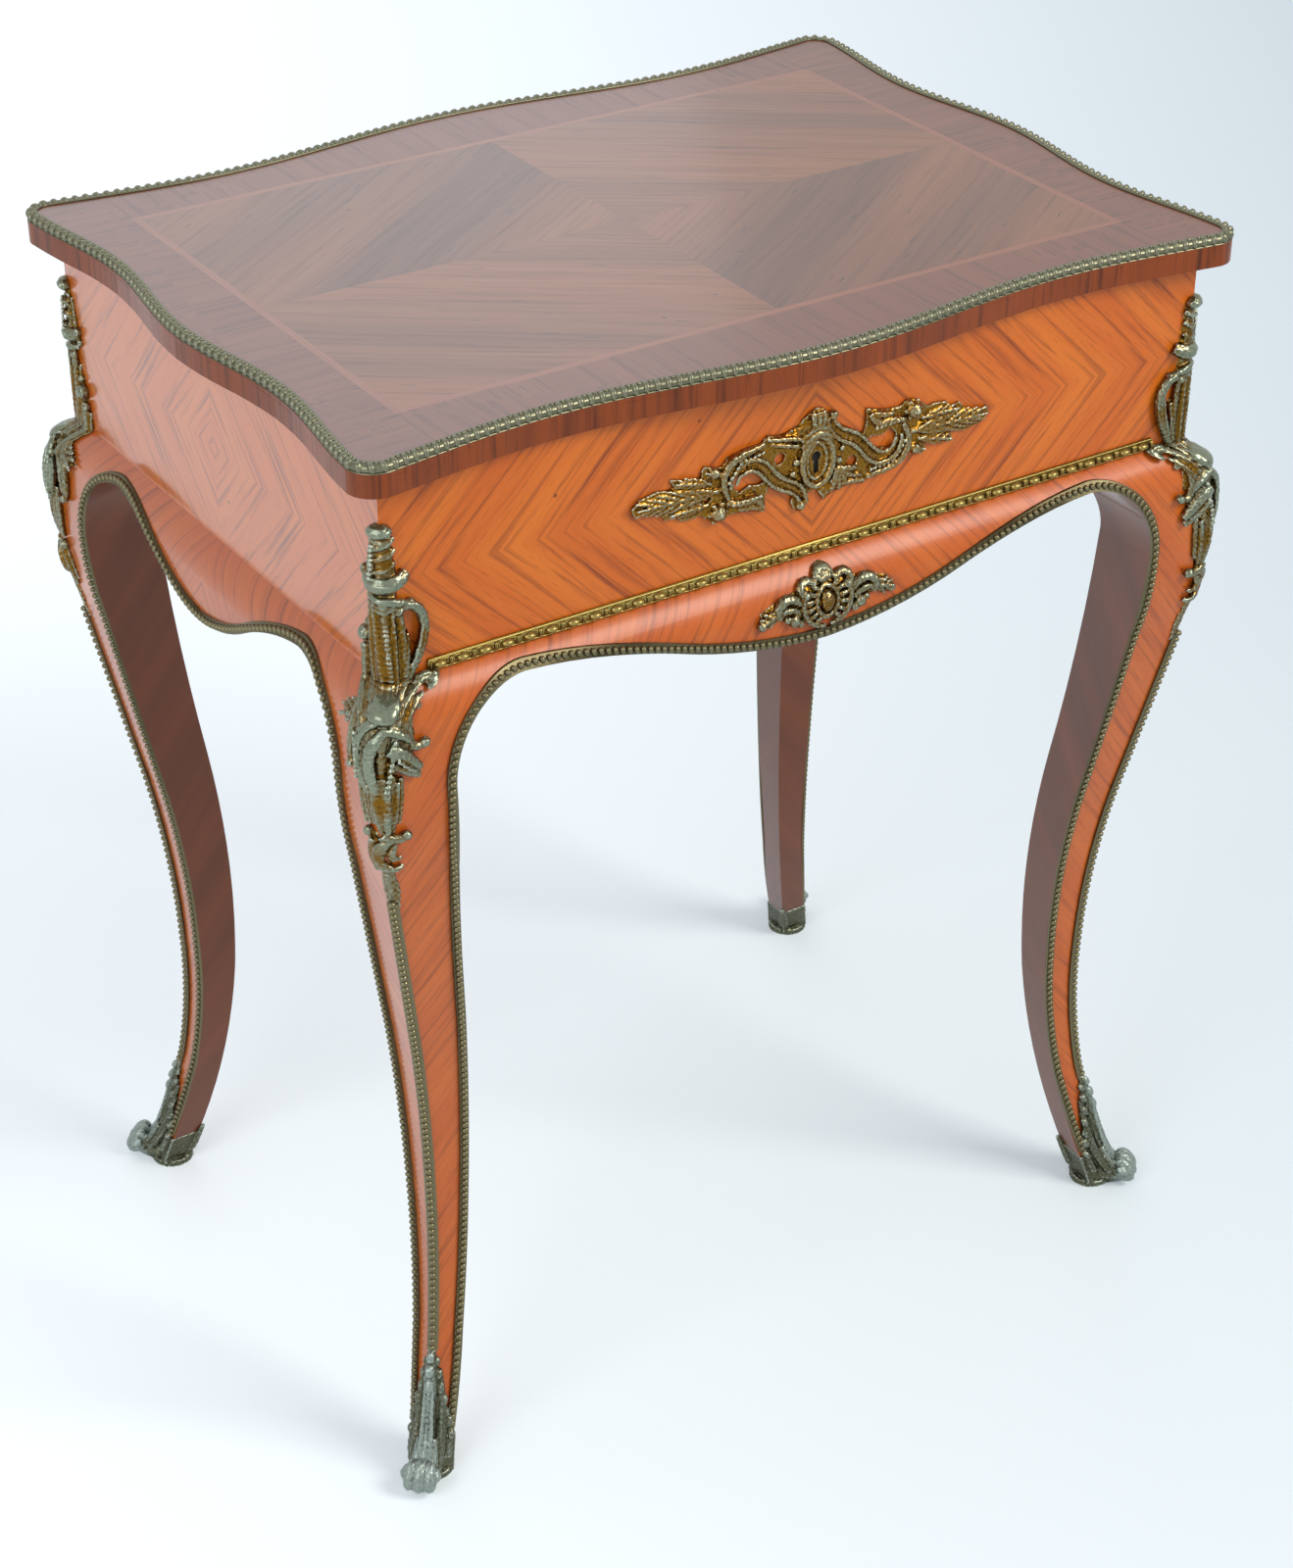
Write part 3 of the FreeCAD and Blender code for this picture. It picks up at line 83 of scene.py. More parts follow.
def add(tree, kind, settings, inputs):
    """Adds a node with its settings, and links or sets its inputs."""
    node = tree.nodes.new(kind)
    for name, value in settings.items():
        setattr(node, name, value)
    for name, value in inputs.items():
        if isinstance(value, bpy.types.Node):
            value = value.outputs[0]
        if isinstance(value, bpy.types.NodeSocket):
            tree.links.new(value, node.inputs[name])
        else:
            node.inputs[name].default_value = value
    return node


def new_finish(name):
    """A material, its node tree and its main shader."""
    material = bpy.data.materials.new(name)
    material.use_nodes = True
    return material, material.node_tree, material.node_tree.nodes["Principled BSDF"]


def piece_of(name, shape):
    """A piece in the scene with the form of a bmesh, which is used up."""
    mesh = bpy.data.meshes.new(name)
    shape.to_mesh(mesh)
    shape.free()
    piece = bpy.data.objects.new(name, mesh)
    scene.collection.objects.link(piece)
    return piece


def seen_white(tree):
    """One where the camera, a reflection or glass looks, and nought for the light on the object."""
    seen = add(tree, "ShaderNodeLightPath", {}, {})
    both = add(tree, "ShaderNodeMath", {"operation": "ADD"},
               {0: seen.outputs["Is Camera Ray"], 1: seen.outputs["Is Glossy Ray"]})
    return add(tree, "ShaderNodeMath", {"operation": "ADD", "use_clamp": True},
               {0: both, 1: seen.outputs["Is Transmission Ray"]})


sheet = bmesh.new()
bmesh.ops.create_grid(sheet, x_segments=1, y_segments=1, size=FLOOR_SIZE)
floor = piece_of("floor", sheet)
paper, tree, shader = new_finish("studio_paper")
place = add(tree, "ShaderNodeTexCoord", {}, {})
spot = add(tree, "ShaderNodeSeparateXYZ", {}, {0: place.outputs["Object"]})
# how far a spot lies to the right of the picture's middle, and how far before or behind it
turned = add(tree, "ShaderNodeMath", {"operation": "MULTIPLY"}, {0: spot.outputs["Y"], 1: -VIEW_X})
sideways = add(tree, "ShaderNodeMath", {"operation": "MULTIPLY_ADD"},
               {0: spot.outputs["X"], 1: VIEW_Y, 2: turned})
turned = add(tree, "ShaderNodeMath", {"operation": "MULTIPLY"}, {0: spot.outputs["X"], 1: VIEW_X})
away = add(tree, "ShaderNodeMath", {"operation": "MULTIPLY_ADD"},
           {0: spot.outputs["Y"], 1: VIEW_Y, 2: turned})
away = add(tree, "ShaderNodeMath", {"operation": "ABSOLUTE"}, {0: away})
cloud = add(tree, "ShaderNodeTexNoise", {},
            {"Vector": place.outputs["Object"], "Scale": CLOUDS_A_METRE, "Detail": 2.0})
drift = add(tree, "ShaderNodeMath", {"operation": "MULTIPLY_ADD"}, {0: cloud, 1: CLOUD_DRIFT, 2: sideways})
# painted shade: the paper is tinted grey blue towards the right, where the light falls off
shade = add(tree, "ShaderNodeMapRange", {}, {"Value": drift, "From Min": -0.7, "From Max": 1.1})
tint = add(tree, "ShaderNodeMix", {"data_type": "RGBA"},
           {"Factor": shade, "A": linear(PAPER_WARM), "B": linear(PAPER_PAINTED_SHADE)})
tree.links.new(tint.outputs["Result"], shader.inputs["Base Color"])
shader.inputs["Roughness"].default_value = 0.9
shader.inputs["Specular IOR Level"].default_value = 0.1
# painted light: the white lift is stronger to the left and further back, where the lamps reach less
lean = add(tree, "ShaderNodeMapRange", {},
           {"Value": sideways, "From Min": -1.0, "To Min": LIFT_LEFT, "To Max": LIFT_RIGHT})
painted_lift_glow = add(tree, "ShaderNodeMath", {"operation": "MULTIPLY_ADD"}, {0: away, 1: LIFT_A_METRE, 2: lean})
lift = add(tree, "ShaderNodeMath", {"operation": "MULTIPLY"}, {0: seen_white(tree), 1: painted_lift_glow})
tree.links.new(lift.outputs[0], shader.inputs["Emission Strength"])
shader.inputs["Emission Color"].default_value = linear(PAPER_LIFTED)
floor.data.materials.append(paper)

# Light: large soft boxes high on the right and the left of the camera and one behind the table,
# in a pale room. The room is seen brighter than it shines, as a white studio is.
LAMPS = (
    # name, place, aim, size, watts, colour
    ("key_box", (1.3, -1.9, 2.3), (0.0, 0.0, 0.5), 1.2, 45, "#FFFAF2"),
    ("fill_box", (-2.2, -0.9, 1.7), (0.0, 0.0, 0.5), 1.6, 20, "#F4F8FF"),
    ("back_box", (0.6, 2.3, 2.2), (0.0, 0.0, 0.6), 2.0, 9, "#EAF3FF"),
)
ROOM_COLOUR, ROOM_SHINES, ROOM_SEEN = "#F4F6F9", 0.5, 1.0
for name, spot, aim, size, watts, colour in LAMPS:
    lamp = bpy.data.lights.new(name, "AREA")
    lamp.size = size
    lamp.energy = watts
    lamp.color = linear(colour)[:3]
    holder = bpy.data.objects.new(name, lamp)
    holder.location = spot
    holder.rotation_euler = (Vector(aim) - Vector(spot)).to_track_quat("-Z", "Y").to_euler()
    scene.collection.objects.link(holder)
world = bpy.data.worlds.new("pale_room")
world.use_nodes = True
scene.world = world
room = world.node_tree.nodes["Background"]
room.inputs["Color"].default_value = linear(ROOM_COLOUR)
power = add(world.node_tree, "ShaderNodeMapRange", {},
            {"Value": seen_white(world.node_tree), "To Min": ROOM_SHINES, "To Max": ROOM_SEEN})
world.node_tree.links.new(power.outputs[0], room.inputs["Strength"])

# Friezes: the four rails between the legs, veneered with kingwood. Its brown-orange leaves with
# dark violet streaks are laid in mirrored quarters, so that the grain meets in lozenges on each
# side, and are French polished to a soft gloss.
STREAK_LENGTH, STREAK_WIDTH = 0.11, 0.0042
PLANK_LENGTH, PLANK_WIDTH = 0.3, 0.022
# real pores are a tenth of a millimetre wide; they are drawn as coarse as they need to show
PORE_LENGTH, PORE_WIDTH = 0.012, 0.0009
SPLIT_LENGTH, SPLIT_WIDTH, SPLIT_DARK = 0.024, 0.0024, "#140C0A"
WANDERS_A_METRE, WANDER = 9.0, 0.006
RAYS_A_METRE, LEAF_STEP = 14.0, 0.06
KNOCKS_A_METRE, KNOCK_DARK = 26.0, "#2A1410"
DENTS_A_METRE, DENT_DEPTH = 16.0, 0.0012
FACING_OUT = 0.35


def veneer(name, colours, across, up, middle=(0.0, 0.0), folds=(True, True), angle=45.0, inner=None,
           roughness=0.3, coat=0.12, dark_amount=0.5, band=None, figure=1.0, painted_quarter_shade=0.0, gloss=1.5,
           side_coat=None, splits=False):
    """A veneered face. across and up name the axes of its face, or across is XY for a piece whose
    faces look both ways; angle is the grain's slope in the mirrored quarter."""
    material, tree, shader = new_finish(name)
    place = add(tree, "ShaderNodeTexCoord", {}, {})
    spot = add(tree, "ShaderNodeSeparateXYZ", {}, {0: place.outputs["Object"]})
    facing = add(tree, "ShaderNodeSeparateXYZ", {}, {0: place.outputs["Normal"]})
    size_x = add(tree, "ShaderNodeMath", {"operation": "ABSOLUTE"}, {0: facing.outputs["X"]})
    size_y = add(tree, "ShaderNodeMath", {"operation": "ABSOLUTE"}, {0: facing.outputs["Y"]})
    to_side = add(tree, "ShaderNodeMath", {"operation": "GREATER_THAN"}, {0: size_x, 1: size_y})
    if across == "XY":
        run = add(tree, "ShaderNodeMix", {"data_type": "FLOAT"},
                  {"Factor": to_side, "A": spot.outputs["X"], "B": spot.outputs["Y"]}).outputs["Result"]
    else:
        run = spot.outputs[across]
    rise = spot.outputs[up]
    if folds[0]:
        run = add(tree, "ShaderNodeMath", {"operation": "SUBTRACT"}, {0: run, 1: middle[0]})
        run = add(tree, "ShaderNodeMath", {"operation": "ABSOLUTE"}, {0: run})
    if folds[1]:
        rise = add(tree, "ShaderNodeMath", {"operation": "SUBTRACT"}, {0: rise, 1: middle[1]})
        rise = add(tree, "ShaderNodeMath", {"operation": "ABSOLUTE"}, {0: rise})
    if band:
        # beyond the joint the leaves of the cross band run straight out to the edge
        beyond = add(tree, "ShaderNodeMath", {"operation": "GREATER_THAN"}, {0: run, 1: band})
        other = add(tree, "ShaderNodeMix", {"data_type": "FLOAT"}, {"Factor": beyond, "A": rise, "B": run})
        run = add(tree, "ShaderNodeMix", {"data_type": "FLOAT"}, {"Factor": beyond, "A": run, "B": rise})
        rise = other
    turn = math.radians(angle)
    ups = add(tree, "ShaderNodeMath", {"operation": "MULTIPLY"}, {0: rise, 1: math.sin(turn)})
    along = add(tree, "ShaderNodeMath", {"operation": "MULTIPLY_ADD"}, {0: run, 1: -math.cos(turn), 2: ups})
    ups = add(tree, "ShaderNodeMath", {"operation": "MULTIPLY"}, {0: rise, 1: math.cos(turn)})
    beside = add(tree, "ShaderNodeMath", {"operation": "MULTIPLY_ADD"}, {0: run, 1: math.sin(turn), 2: ups})
    # the leaves wander a little, so that the streaks are not ruled lines
    wander = add(tree, "ShaderNodeTexNoise", {},
                 {"Vector": place.outputs["Object"], "Scale": WANDERS_A_METRE, "Detail": 1.0})
    beside = add(tree, "ShaderNodeMath", {"operation": "MULTIPLY_ADD"},
                 {0: wander, 1: WANDER * figure, 2: beside})
    grains = []
    for length, width, detail in ((STREAK_LENGTH, STREAK_WIDTH, 4.0), (PLANK_LENGTH, PLANK_WIDTH, 2.0),
                                  (PORE_LENGTH, PORE_WIDTH, 2.0)):
        long_way = add(tree, "ShaderNodeMath", {"operation": "MULTIPLY"}, {0: along, 1: 1 / length})
        cross_way = add(tree, "ShaderNodeMath", {"operation": "MULTIPLY"}, {0: beside, 1: 1 / width})
        spread = add(tree, "ShaderNodeCombineXYZ", {}, {"X": long_way, "Y": cross_way, "Z": to_side})
        grains.append(add(tree, "ShaderNodeTexNoise", {"noise_dimensions": "3D"},
                          {"Vector": spread, "Scale": 1.0, "Detail": detail, "Roughness": 0.6}))
    streak, plank, pore = grains
    # what darkens the ground, one over another: painted shade in rays, then streaks, pores, splits, knocks
    layers = []
    if painted_quarter_shade:
        # painted shade: each quarter is darkened in its own way, in broad rays along its grain, for the way
        # it takes the light
        cross_way = add(tree, "ShaderNodeMath", {"operation": "MULTIPLY"}, {0: beside, 1: RAYS_A_METRE})
        sides = [add(tree, "ShaderNodeMath", {"operation": "SIGN"}, {0: spot.outputs[axis]})
                 for axis in (across, up)]
        leaf = add(tree, "ShaderNodeMath", {"operation": "MULTIPLY"}, {0: sides[0], 1: sides[1]})
        spread = add(tree, "ShaderNodeCombineXYZ", {}, {"X": along, "Y": cross_way, "Z": leaf})
        ray = add(tree, "ShaderNodeTexNoise", {}, {"Vector": spread, "Scale": 1.0, "Detail": 1.0})
        ray = add(tree, "ShaderNodeMath", {"operation": "MULTIPLY_ADD"}, {0: leaf, 1: LEAF_STEP, 2: ray})
        shade = add(tree, "ShaderNodeMapRange", {},
                    {"Value": ray, "From Min": 0.34, "From Max": 0.66, "To Min": painted_quarter_shade, "To Max": 0.0})
        layers.append((shade, colours[2]))
    ramp = add(tree, "ShaderNodeMapRange", {},
               {"Value": streak, "From Min": 0.50, "From Max": 0.72, "To Min": 0.0, "To Max": dark_amount})
    specks = add(tree, "ShaderNodeMapRange", {},
                 {"Value": pore, "From Min": 0.60, "From Max": 0.74, "To Min": 0.0, "To Max": 0.45})
    layers += [(ramp, colours[2]), (specks, colours[2])]
    if splits:
        # short dark splits, where the leaves have shrunk along their grain
        long_way = add(tree, "ShaderNodeMath", {"operation": "MULTIPLY"}, {0: along, 1: 1 / SPLIT_LENGTH})
        cross_way = add(tree, "ShaderNodeMath", {"operation": "MULTIPLY"}, {0: beside, 1: 1 / SPLIT_WIDTH})
        spread = add(tree, "ShaderNodeCombineXYZ", {}, {"X": long_way, "Y": cross_way})
        split = add(tree, "ShaderNodeTexNoise", {}, {"Vector": spread, "Scale": 1.0, "Detail": 0.0})
        split = add(tree, "ShaderNodeMapRange", {},
                    {"Value": split, "From Min": 0.80, "From Max": 0.86, "To Max": 0.85})
        layers.append((split, SPLIT_DARK))
    # old knocks and nail holes, a few to a hand's breadth
    knocks = add(tree, "ShaderNodeTexVoronoi", {},
                 {"Vector": place.outputs["Object"], "Scale": KNOCKS_A_METRE})
    hole = add(tree, "ShaderNodeMapRange", {}, {"Value": knocks.outputs["Distance"], "From Min": 0.022,
                                                "From Max": 0.045, "To Min": 0.7, "To Max": 0.0})
    layers.append((hole, KNOCK_DARK))
    colour = add(tree, "ShaderNodeMix", {"data_type": "RGBA"},
                 {"Factor": plank, "A": linear(colours[0]), "B": linear(colours[1])}).outputs["Result"]
    for amount, dark in layers:
        colour = add(tree, "ShaderNodeMix", {"data_type": "RGBA"},
                     {"Factor": amount, "A": colour, "B": linear(dark)}).outputs["Result"]
    if inner:
        # the two inner faces of a leg are plain stained wood, not veneered
        out = [add(tree, "ShaderNodeMath", {"operation": "MULTIPLY"},
                   {0: add(tree, "ShaderNodeMath", {"operation": "SIGN"}, {0: spot.outputs[axis]}),
                    1: facing.outputs[axis]}) for axis in ("X", "Y")]
        most = add(tree, "ShaderNodeMath", {"operation": "MAXIMUM"}, {0: out[0], 1: out[1]})
        plain = add(tree, "ShaderNodeMath", {"operation": "LESS_THAN"}, {0: most, 1: FACING_OUT})
        stain = add(tree, "ShaderNodeMix", {"data_type": "RGBA"},
                    {"Factor": plank, "A": linear(inner[0]), "B": linear(inner[1])})
        colour = add(tree, "ShaderNodeMix", {"data_type": "RGBA"},
                     {"Factor": plain, "A": colour, "B": stain.outputs["Result"]}).outputs["Result"]
    tree.links.new(colour, shader.inputs["Base Color"])
    polish = add(tree, "ShaderNodeMapRange", {},
                 {"Value": streak, "To Min": roughness - 0.06, "To Max": roughness + 0.08})
    tree.links.new(polish.outputs[0], shader.inputs["Roughness"])
    shader.inputs["IOR"].default_value = gloss
    shader.inputs["Coat Weight"].default_value = coat
    shader.inputs["Coat Roughness"].default_value = 0.12
    if side_coat is not None:
        # the ends were polished again and are glossier than the front
        weight = add(tree, "ShaderNodeMapRange", {},
                     {"Value": to_side, "To Min": coat, "To Max": side_coat})
        tree.links.new(weight.outputs[0], shader.inputs["Coat Weight"])
    dents = add(tree, "ShaderNodeTexNoise", {},
                {"Vector": place.outputs["Object"], "Scale": DENTS_A_METRE, "Detail": 3.0})
    height = add(tree, "ShaderNodeMath", {"operation": "MULTIPLY_ADD"}, {0: pore, 1: 0.15, 2: dents})
    height = add(tree, "ShaderNodeMath", {"operation": "SUBTRACT"}, {0: height, 1: hole})
    bump = add(tree, "ShaderNodeBump", {}, {"Strength": 0.16, "Distance": DENT_DEPTH, "Height": height})
    tree.links.new(bump.outputs[0], shader.inputs["Normal"])
    return material


def finish(material, slot, *names):
    """Gives CAD nodes a material in all their slots."""
    for name in names:
        node = nodes[name]
        node.data.materials.clear()
        node.data.materials.append(material)


SIDES = ("front", "back", "left", "right")
CORNERS = ("front_left", "front_right", "back_left", "back_right")
LOCK_LEVEL = 0.6585
frieze_wood = veneer("kingwood_frieze", ("#C4540E", "#E47E22", "#722A0A"), "XY", "Z", (0.0, LOCK_LEVEL),
                     dark_amount=0.8, coat=0.04, gloss=1.42, side_coat=1.0)
finish(frieze_wood, "frieze_kingwood", *["frieze_veneer_" + side for side in SIDES])

# Legs and aprons: cut from the solid and veneered outside, the grain rising to the corners; the
# inner faces are plain wood stained to a dark red brown.
leg_wood = veneer("kingwood_legs", ("#BA4E10", "#D87226", "#62240A"), "XY", "Z", folds=(True, False),
                  angle=52, coat=0.06, gloss=1.45, side_coat=0.7, inner=("#4C240E", "#86431F"),
                  dark_amount=0.6)
finish(leg_wood, "leg_veneer", *["leg_" + corner for corner in CORNERS],
       *["apron_" + side for side in SIDES])

# Lid: four leaves about the middle, a stringing line, and cross bands out to the brass rim. The
# top is darker than the sides, from daylight and a hundred years of polish, and has split in
# places along its grain; the grain of the lipping round its edge stands upright.
BAND_JOINT, LINE_JOINT = 0.2545, 0.2495
# painted shade: the four leaves of the top are darkened each in its own way, for how each takes the light
top_wood = veneer("kingwood_top", ("#784018", "#9E6434", "#3A1C0C"), "X", "Y", angle=35, coat=0.3,
                  painted_quarter_shade=0.6, gloss=1.58, splits=True)
band_wood = veneer("kingwood_cross_band", ("#602F14", "#864A26", "#2C130A"), "X", "Y", angle=90,
                   band=BAND_JOINT, roughness=0.32, coat=0.3, dark_amount=0.6, figure=0.4, gloss=1.6,
                   splits=True)
line_wood = veneer("box_stringing", ("#84492A", "#9A5A34", "#4A2616"), "X", "Y", angle=0,
                   band=LINE_JOINT, dark_amount=0.3, figure=0.1, coat=0.3, gloss=1.6)
edge_wood = veneer("kingwood_lid_edge", ("#642A0A", "#A04A14", "#240C05"), "XY", "Z", angle=90,
                   folds=(False, False), dark_amount=0.7, figure=0.4, coat=0.02, gloss=1.36)
finish(top_wood, "top_kingwood", "lid_field_veneer")
finish(band_wood, "top_kingwood", "lid_crossbanding")
finish(line_wood, "stringing_wood", "lid_stringing")
finish(edge_wood, "top_kingwood", "lid_edge_veneer")

# Carcase, well and lid board: quarter-sawn oak, planed and jointed, then waxed and gone grey
# brown. The dividers of the well are of the same oak.
oak = veneer("carcase_oak", ("#9A7850", "#B39163", "#6B4E30"), "XY", "Z", angle=0, folds=(False, False),
             roughness=0.6, coat=0.0, figure=0.6)
finish(oak, "carcase_oak", *["frieze_rail_" + side for side in SIDES], "well_bottom", "divider_left",
       "divider_right", "divider_middle", "lid_board")

# Mirror: silvered plate glass, foxed a little towards its edges, held under the lid by a mitred
# frame of polished walnut.
FOXING_A_METRE = 40.0
frame_wood = veneer("mirror_frame_walnut", ("#5A3320", "#7A4A2E", "#2F1810"), "X", "Y", angle=0,
                    folds=(False, False))
finish(frame_wood, "mirror_frame_wood", "mirror_frame")
silver, tree, shader = new_finish("silvered_plate_glass")
place = add(tree, "ShaderNodeTexCoord", {}, {})
foxing = add(tree, "ShaderNodeTexNoise", {},
             {"Vector": place.outputs["Object"], "Scale": FOXING_A_METRE, "Detail": 5.0})
spots = add(tree, "ShaderNodeMapRange", {}, {"Value": foxing, "From Min": 0.66, "From Max": 0.82})
tone = add(tree, "ShaderNodeMix", {"data_type": "RGBA"},
           {"Factor": spots, "A": linear("#DDE2E2"), "B": linear("#8E877C")})
tree.links.new(tone.outputs["Result"], shader.inputs["Base Color"])
shader.inputs["Metallic"].default_value = 1.0
shader.inputs["Roughness"].default_value = 0.05
finish(silver, "mirror_glass", "mirror_glass")

# Hinges and lock: butt hinges of cast brass, filed and lacquered, and a lock of bright steel
# with its bolt and its strike on the lid. The hinges stay yellow, as no hand reaches them.
PATCHES_A_METRE = 70.0
# specks of dirt, drawn a millimetre across so that they show
SPECKS_A_METRE, SPECK_DEPTH = 900.0, 0.0004


def metal(name, high, low, deep, roughness=0.42, grain=SPECKS_A_METRE, relief=0.007, wear=0.7,
          bright="#D4D8C6"):
    """Old metal: high on the raised parts, low in the hollows, deep as specks of dirt and as painted
    shade in concave places, bright on sharp crests, where hands have rubbed them and as a painted
    highlight."""
    material, tree, shader = new_finish(name)
    place = add(tree, "ShaderNodeTexCoord", {}, {})
    level = add(tree, "ShaderNodeAttribute", {"attribute_name": "relief"}, {})
    crest = add(tree, "ShaderNodeMapRange", {},
                {"Value": level.outputs["Fac"], "From Min": 0.0008, "From Max": relief})
    edge = add(tree, "ShaderNodeNewGeometry", {}, {}).outputs["Pointiness"]
    sharp = add(tree, "ShaderNodeMapRange", {}, {"Value": edge, "From Min": 0.485, "From Max": 0.55})
    patch = add(tree, "ShaderNodeTexNoise", {},
                {"Vector": place.outputs["Object"], "Scale": PATCHES_A_METRE, "Detail": 3.0})
    both = add(tree, "ShaderNodeMath", {"operation": "MULTIPLY_ADD"}, {0: sharp, 1: 0.7, 2: crest})
    both = add(tree, "ShaderNodeMath", {"operation": "MULTIPLY_ADD"}, {0: patch, 1: wear, 2: both})
    mask = add(tree, "ShaderNodeMapRange", {}, {"Value": both, "From Min": 0.55, "From Max": 1.35})
    dirt = add(tree, "ShaderNodeTexNoise", {},
               {"Vector": place.outputs["Object"], "Scale": grain, "Detail": 2.0})
    dirt_specks_and_keyhole_shade = add(tree, "ShaderNodeMapRange", {},
               {"Value": dirt, "From Min": 0.52, "From Max": 0.74, "To Max": 0.5})
    # painted shade: concave places are darkened almost to the deep colour
    hollow_shade = add(tree, "ShaderNodeMapRange", {},
              {"Value": edge, "From Min": 0.44, "From Max": 0.496, "To Min": 0.95, "To Max": 0.0})
    # sharp crests lightened towards the bright colour: rubbed wear and a painted highlight
    rubbed_and_highlight = add(tree, "ShaderNodeMapRange", {},
                 {"Value": edge, "From Min": 0.525, "From Max": 0.60, "To Min": 0.0, "To Max": 0.75})
    tone = linear(low)
    for amount, colour in ((mask, high), (dirt_specks_and_keyhole_shade, deep), (hollow_shade, deep), (rubbed_and_highlight, bright)):
        tone = add(tree, "ShaderNodeMix", {"data_type": "RGBA"},
                   {"Factor": amount, "A": tone, "B": linear(colour)}).outputs["Result"]
    tree.links.new(tone, shader.inputs["Base Color"])
    bare = add(tree, "ShaderNodeMapRange", {}, {"Value": mask, "To Min": 0.97, "To Max": 0.78})
    tree.links.new(bare.outputs[0], shader.inputs["Metallic"])
    rough = add(tree, "ShaderNodeMapRange", {},
                {"Value": patch, "To Min": roughness - 0.12, "To Max": roughness + 0.12})
    tree.links.new(rough.outputs[0], shader.inputs["Roughness"])
    bump = add(tree, "ShaderNodeBump", {}, {"Strength": 0.14, "Distance": SPECK_DEPTH, "Height": dirt})
    tree.links.new(bump.outputs[0], shader.inputs["Normal"])
    return material


hinge_brass = metal("hinge_brass", "#B08E44", "#86662A", "#3A2C12", grain=300.0, bright="#B8944A")
lock_steel = metal("lock_steel", "#A9ABAD", "#7C7E80", "#3B3836", roughness=0.38, grain=300.0,
                   bright="#ACAEB0")
finish(hinge_brass, "hinge_brass", "hinge_case_leaf_left", "hinge_case_leaf_right", "hinge_lid_leaf_left",
       "hinge_lid_leaf_right", "hinge_pin_left", "hinge_pin_right")
finish(lock_steel, "lock_steel", "lock_case", "lock_cap", "lock_bolt", "lid_strike")

# Corner mounts: finial, collar, fluted stem, beaded cartouche, bulb, plumes and drop leaf, cast
# in brass whose gilding is worn off: green-grey on the high places, brown gold in the hollows.
# Modelled flat in millimetres and run together like a wax, then bent to the leg and pinned.
mount_brass = metal("patinated_brass_mounts", "#808772", "#765418", "#0C0C07", roughness=0.22,
                    relief=0.0092, wear=0.62)
finish(mount_brass, "mount_bronze", *["corner_mount_" + corner for corner in CORNERS])
BACKING = -0.6
HAMMER_SIZE, HAMMER_DEPTH, HAMMER_REST = 1.9, 0.9, 0.42
LEG_TOP, CORNER_ROUND = 0.597, 5.0
WALL_X, WALL_Y = 0.287, 0.203
PROBES, PROBE_STEP, PROBE_FROM = 16, 0.004, 0.4
# places that have kept their gilding: across, up, spread, and how much
STEM_GILT = (
    (1, 634, 8, 0.010), (1, 620, 8, 0.010), (1, 606, 8, 0.008), (4, 533, 7, 0.008), (2, 672, 6, 0.005),
    (14, 584, 5, 0.005), (13, 558, 5, 0.006), (-3, 496, 9, 0.006), (20, 622, 7, 0.006), (6, 552, 4, 0.004))


def stroke(wax, points, radii, flat=1.0):
    """A scroll or rib in the wax: a bar through (across, up, out) points, round or flattened."""
    curve = bpy.data.curves.new("stroke", "CURVE")
    curve.dimensions = "3D"
    curve.bevel_depth = 1.0
    curve.bevel_resolution = 2
    curve.resolution_u = 5
    curve.use_fill_caps = True
    spline = curve.splines.new("NURBS")
    spline.points.add(len(points) - 1)
    for index, (spot, knot) in enumerate(zip(points, spline.points)):
        share = index / (len(points) - 1) * (len(radii) - 1)
        low = min(int(share), len(radii) - 2)
        knot.co = (spot[0], spot[1], (spot[2] if len(spot) > 2 else 0.0) / flat, 1.0)
        knot.radius = radii[low] + (radii[low + 1] - radii[low]) * (share - low)
    spline.order_u = min(4, len(points))
    spline.use_endpoint_u = True
    holder = bpy.data.objects.new("stroke", curve)
    mesh = bpy.data.meshes.new_from_object(holder)
    mesh.transform(Matrix.Diagonal((1.0, 1.0, flat, 1.0)))
    wax.from_mesh(mesh)
    bpy.data.objects.remove(holder)
    bpy.data.curves.remove(curve)
    bpy.data.meshes.remove(mesh)


def bead(wax, across, up, out, radius, tall=1.0, segments=10):
    """A round or drawn-out drop of wax."""
    place = Matrix.Translation((across, up, out)) @ Matrix.Diagonal((1.0, tall, 1.0, 1.0))
    bmesh.ops.create_uvsphere(wax, u_segments=segments, v_segments=segments // 2 + 1, radius=radius,
                              matrix=place)


def bead_row(wax, start, end, pitch, radius):
    """Drops in a straight row, at about the pitch given."""
    count = max(2, int((Vector(end) - Vector(start)).length / pitch))
    for index in range(count + 1):
        bead(wax, *Vector(start).lerp(Vector(end), index / count), radius)


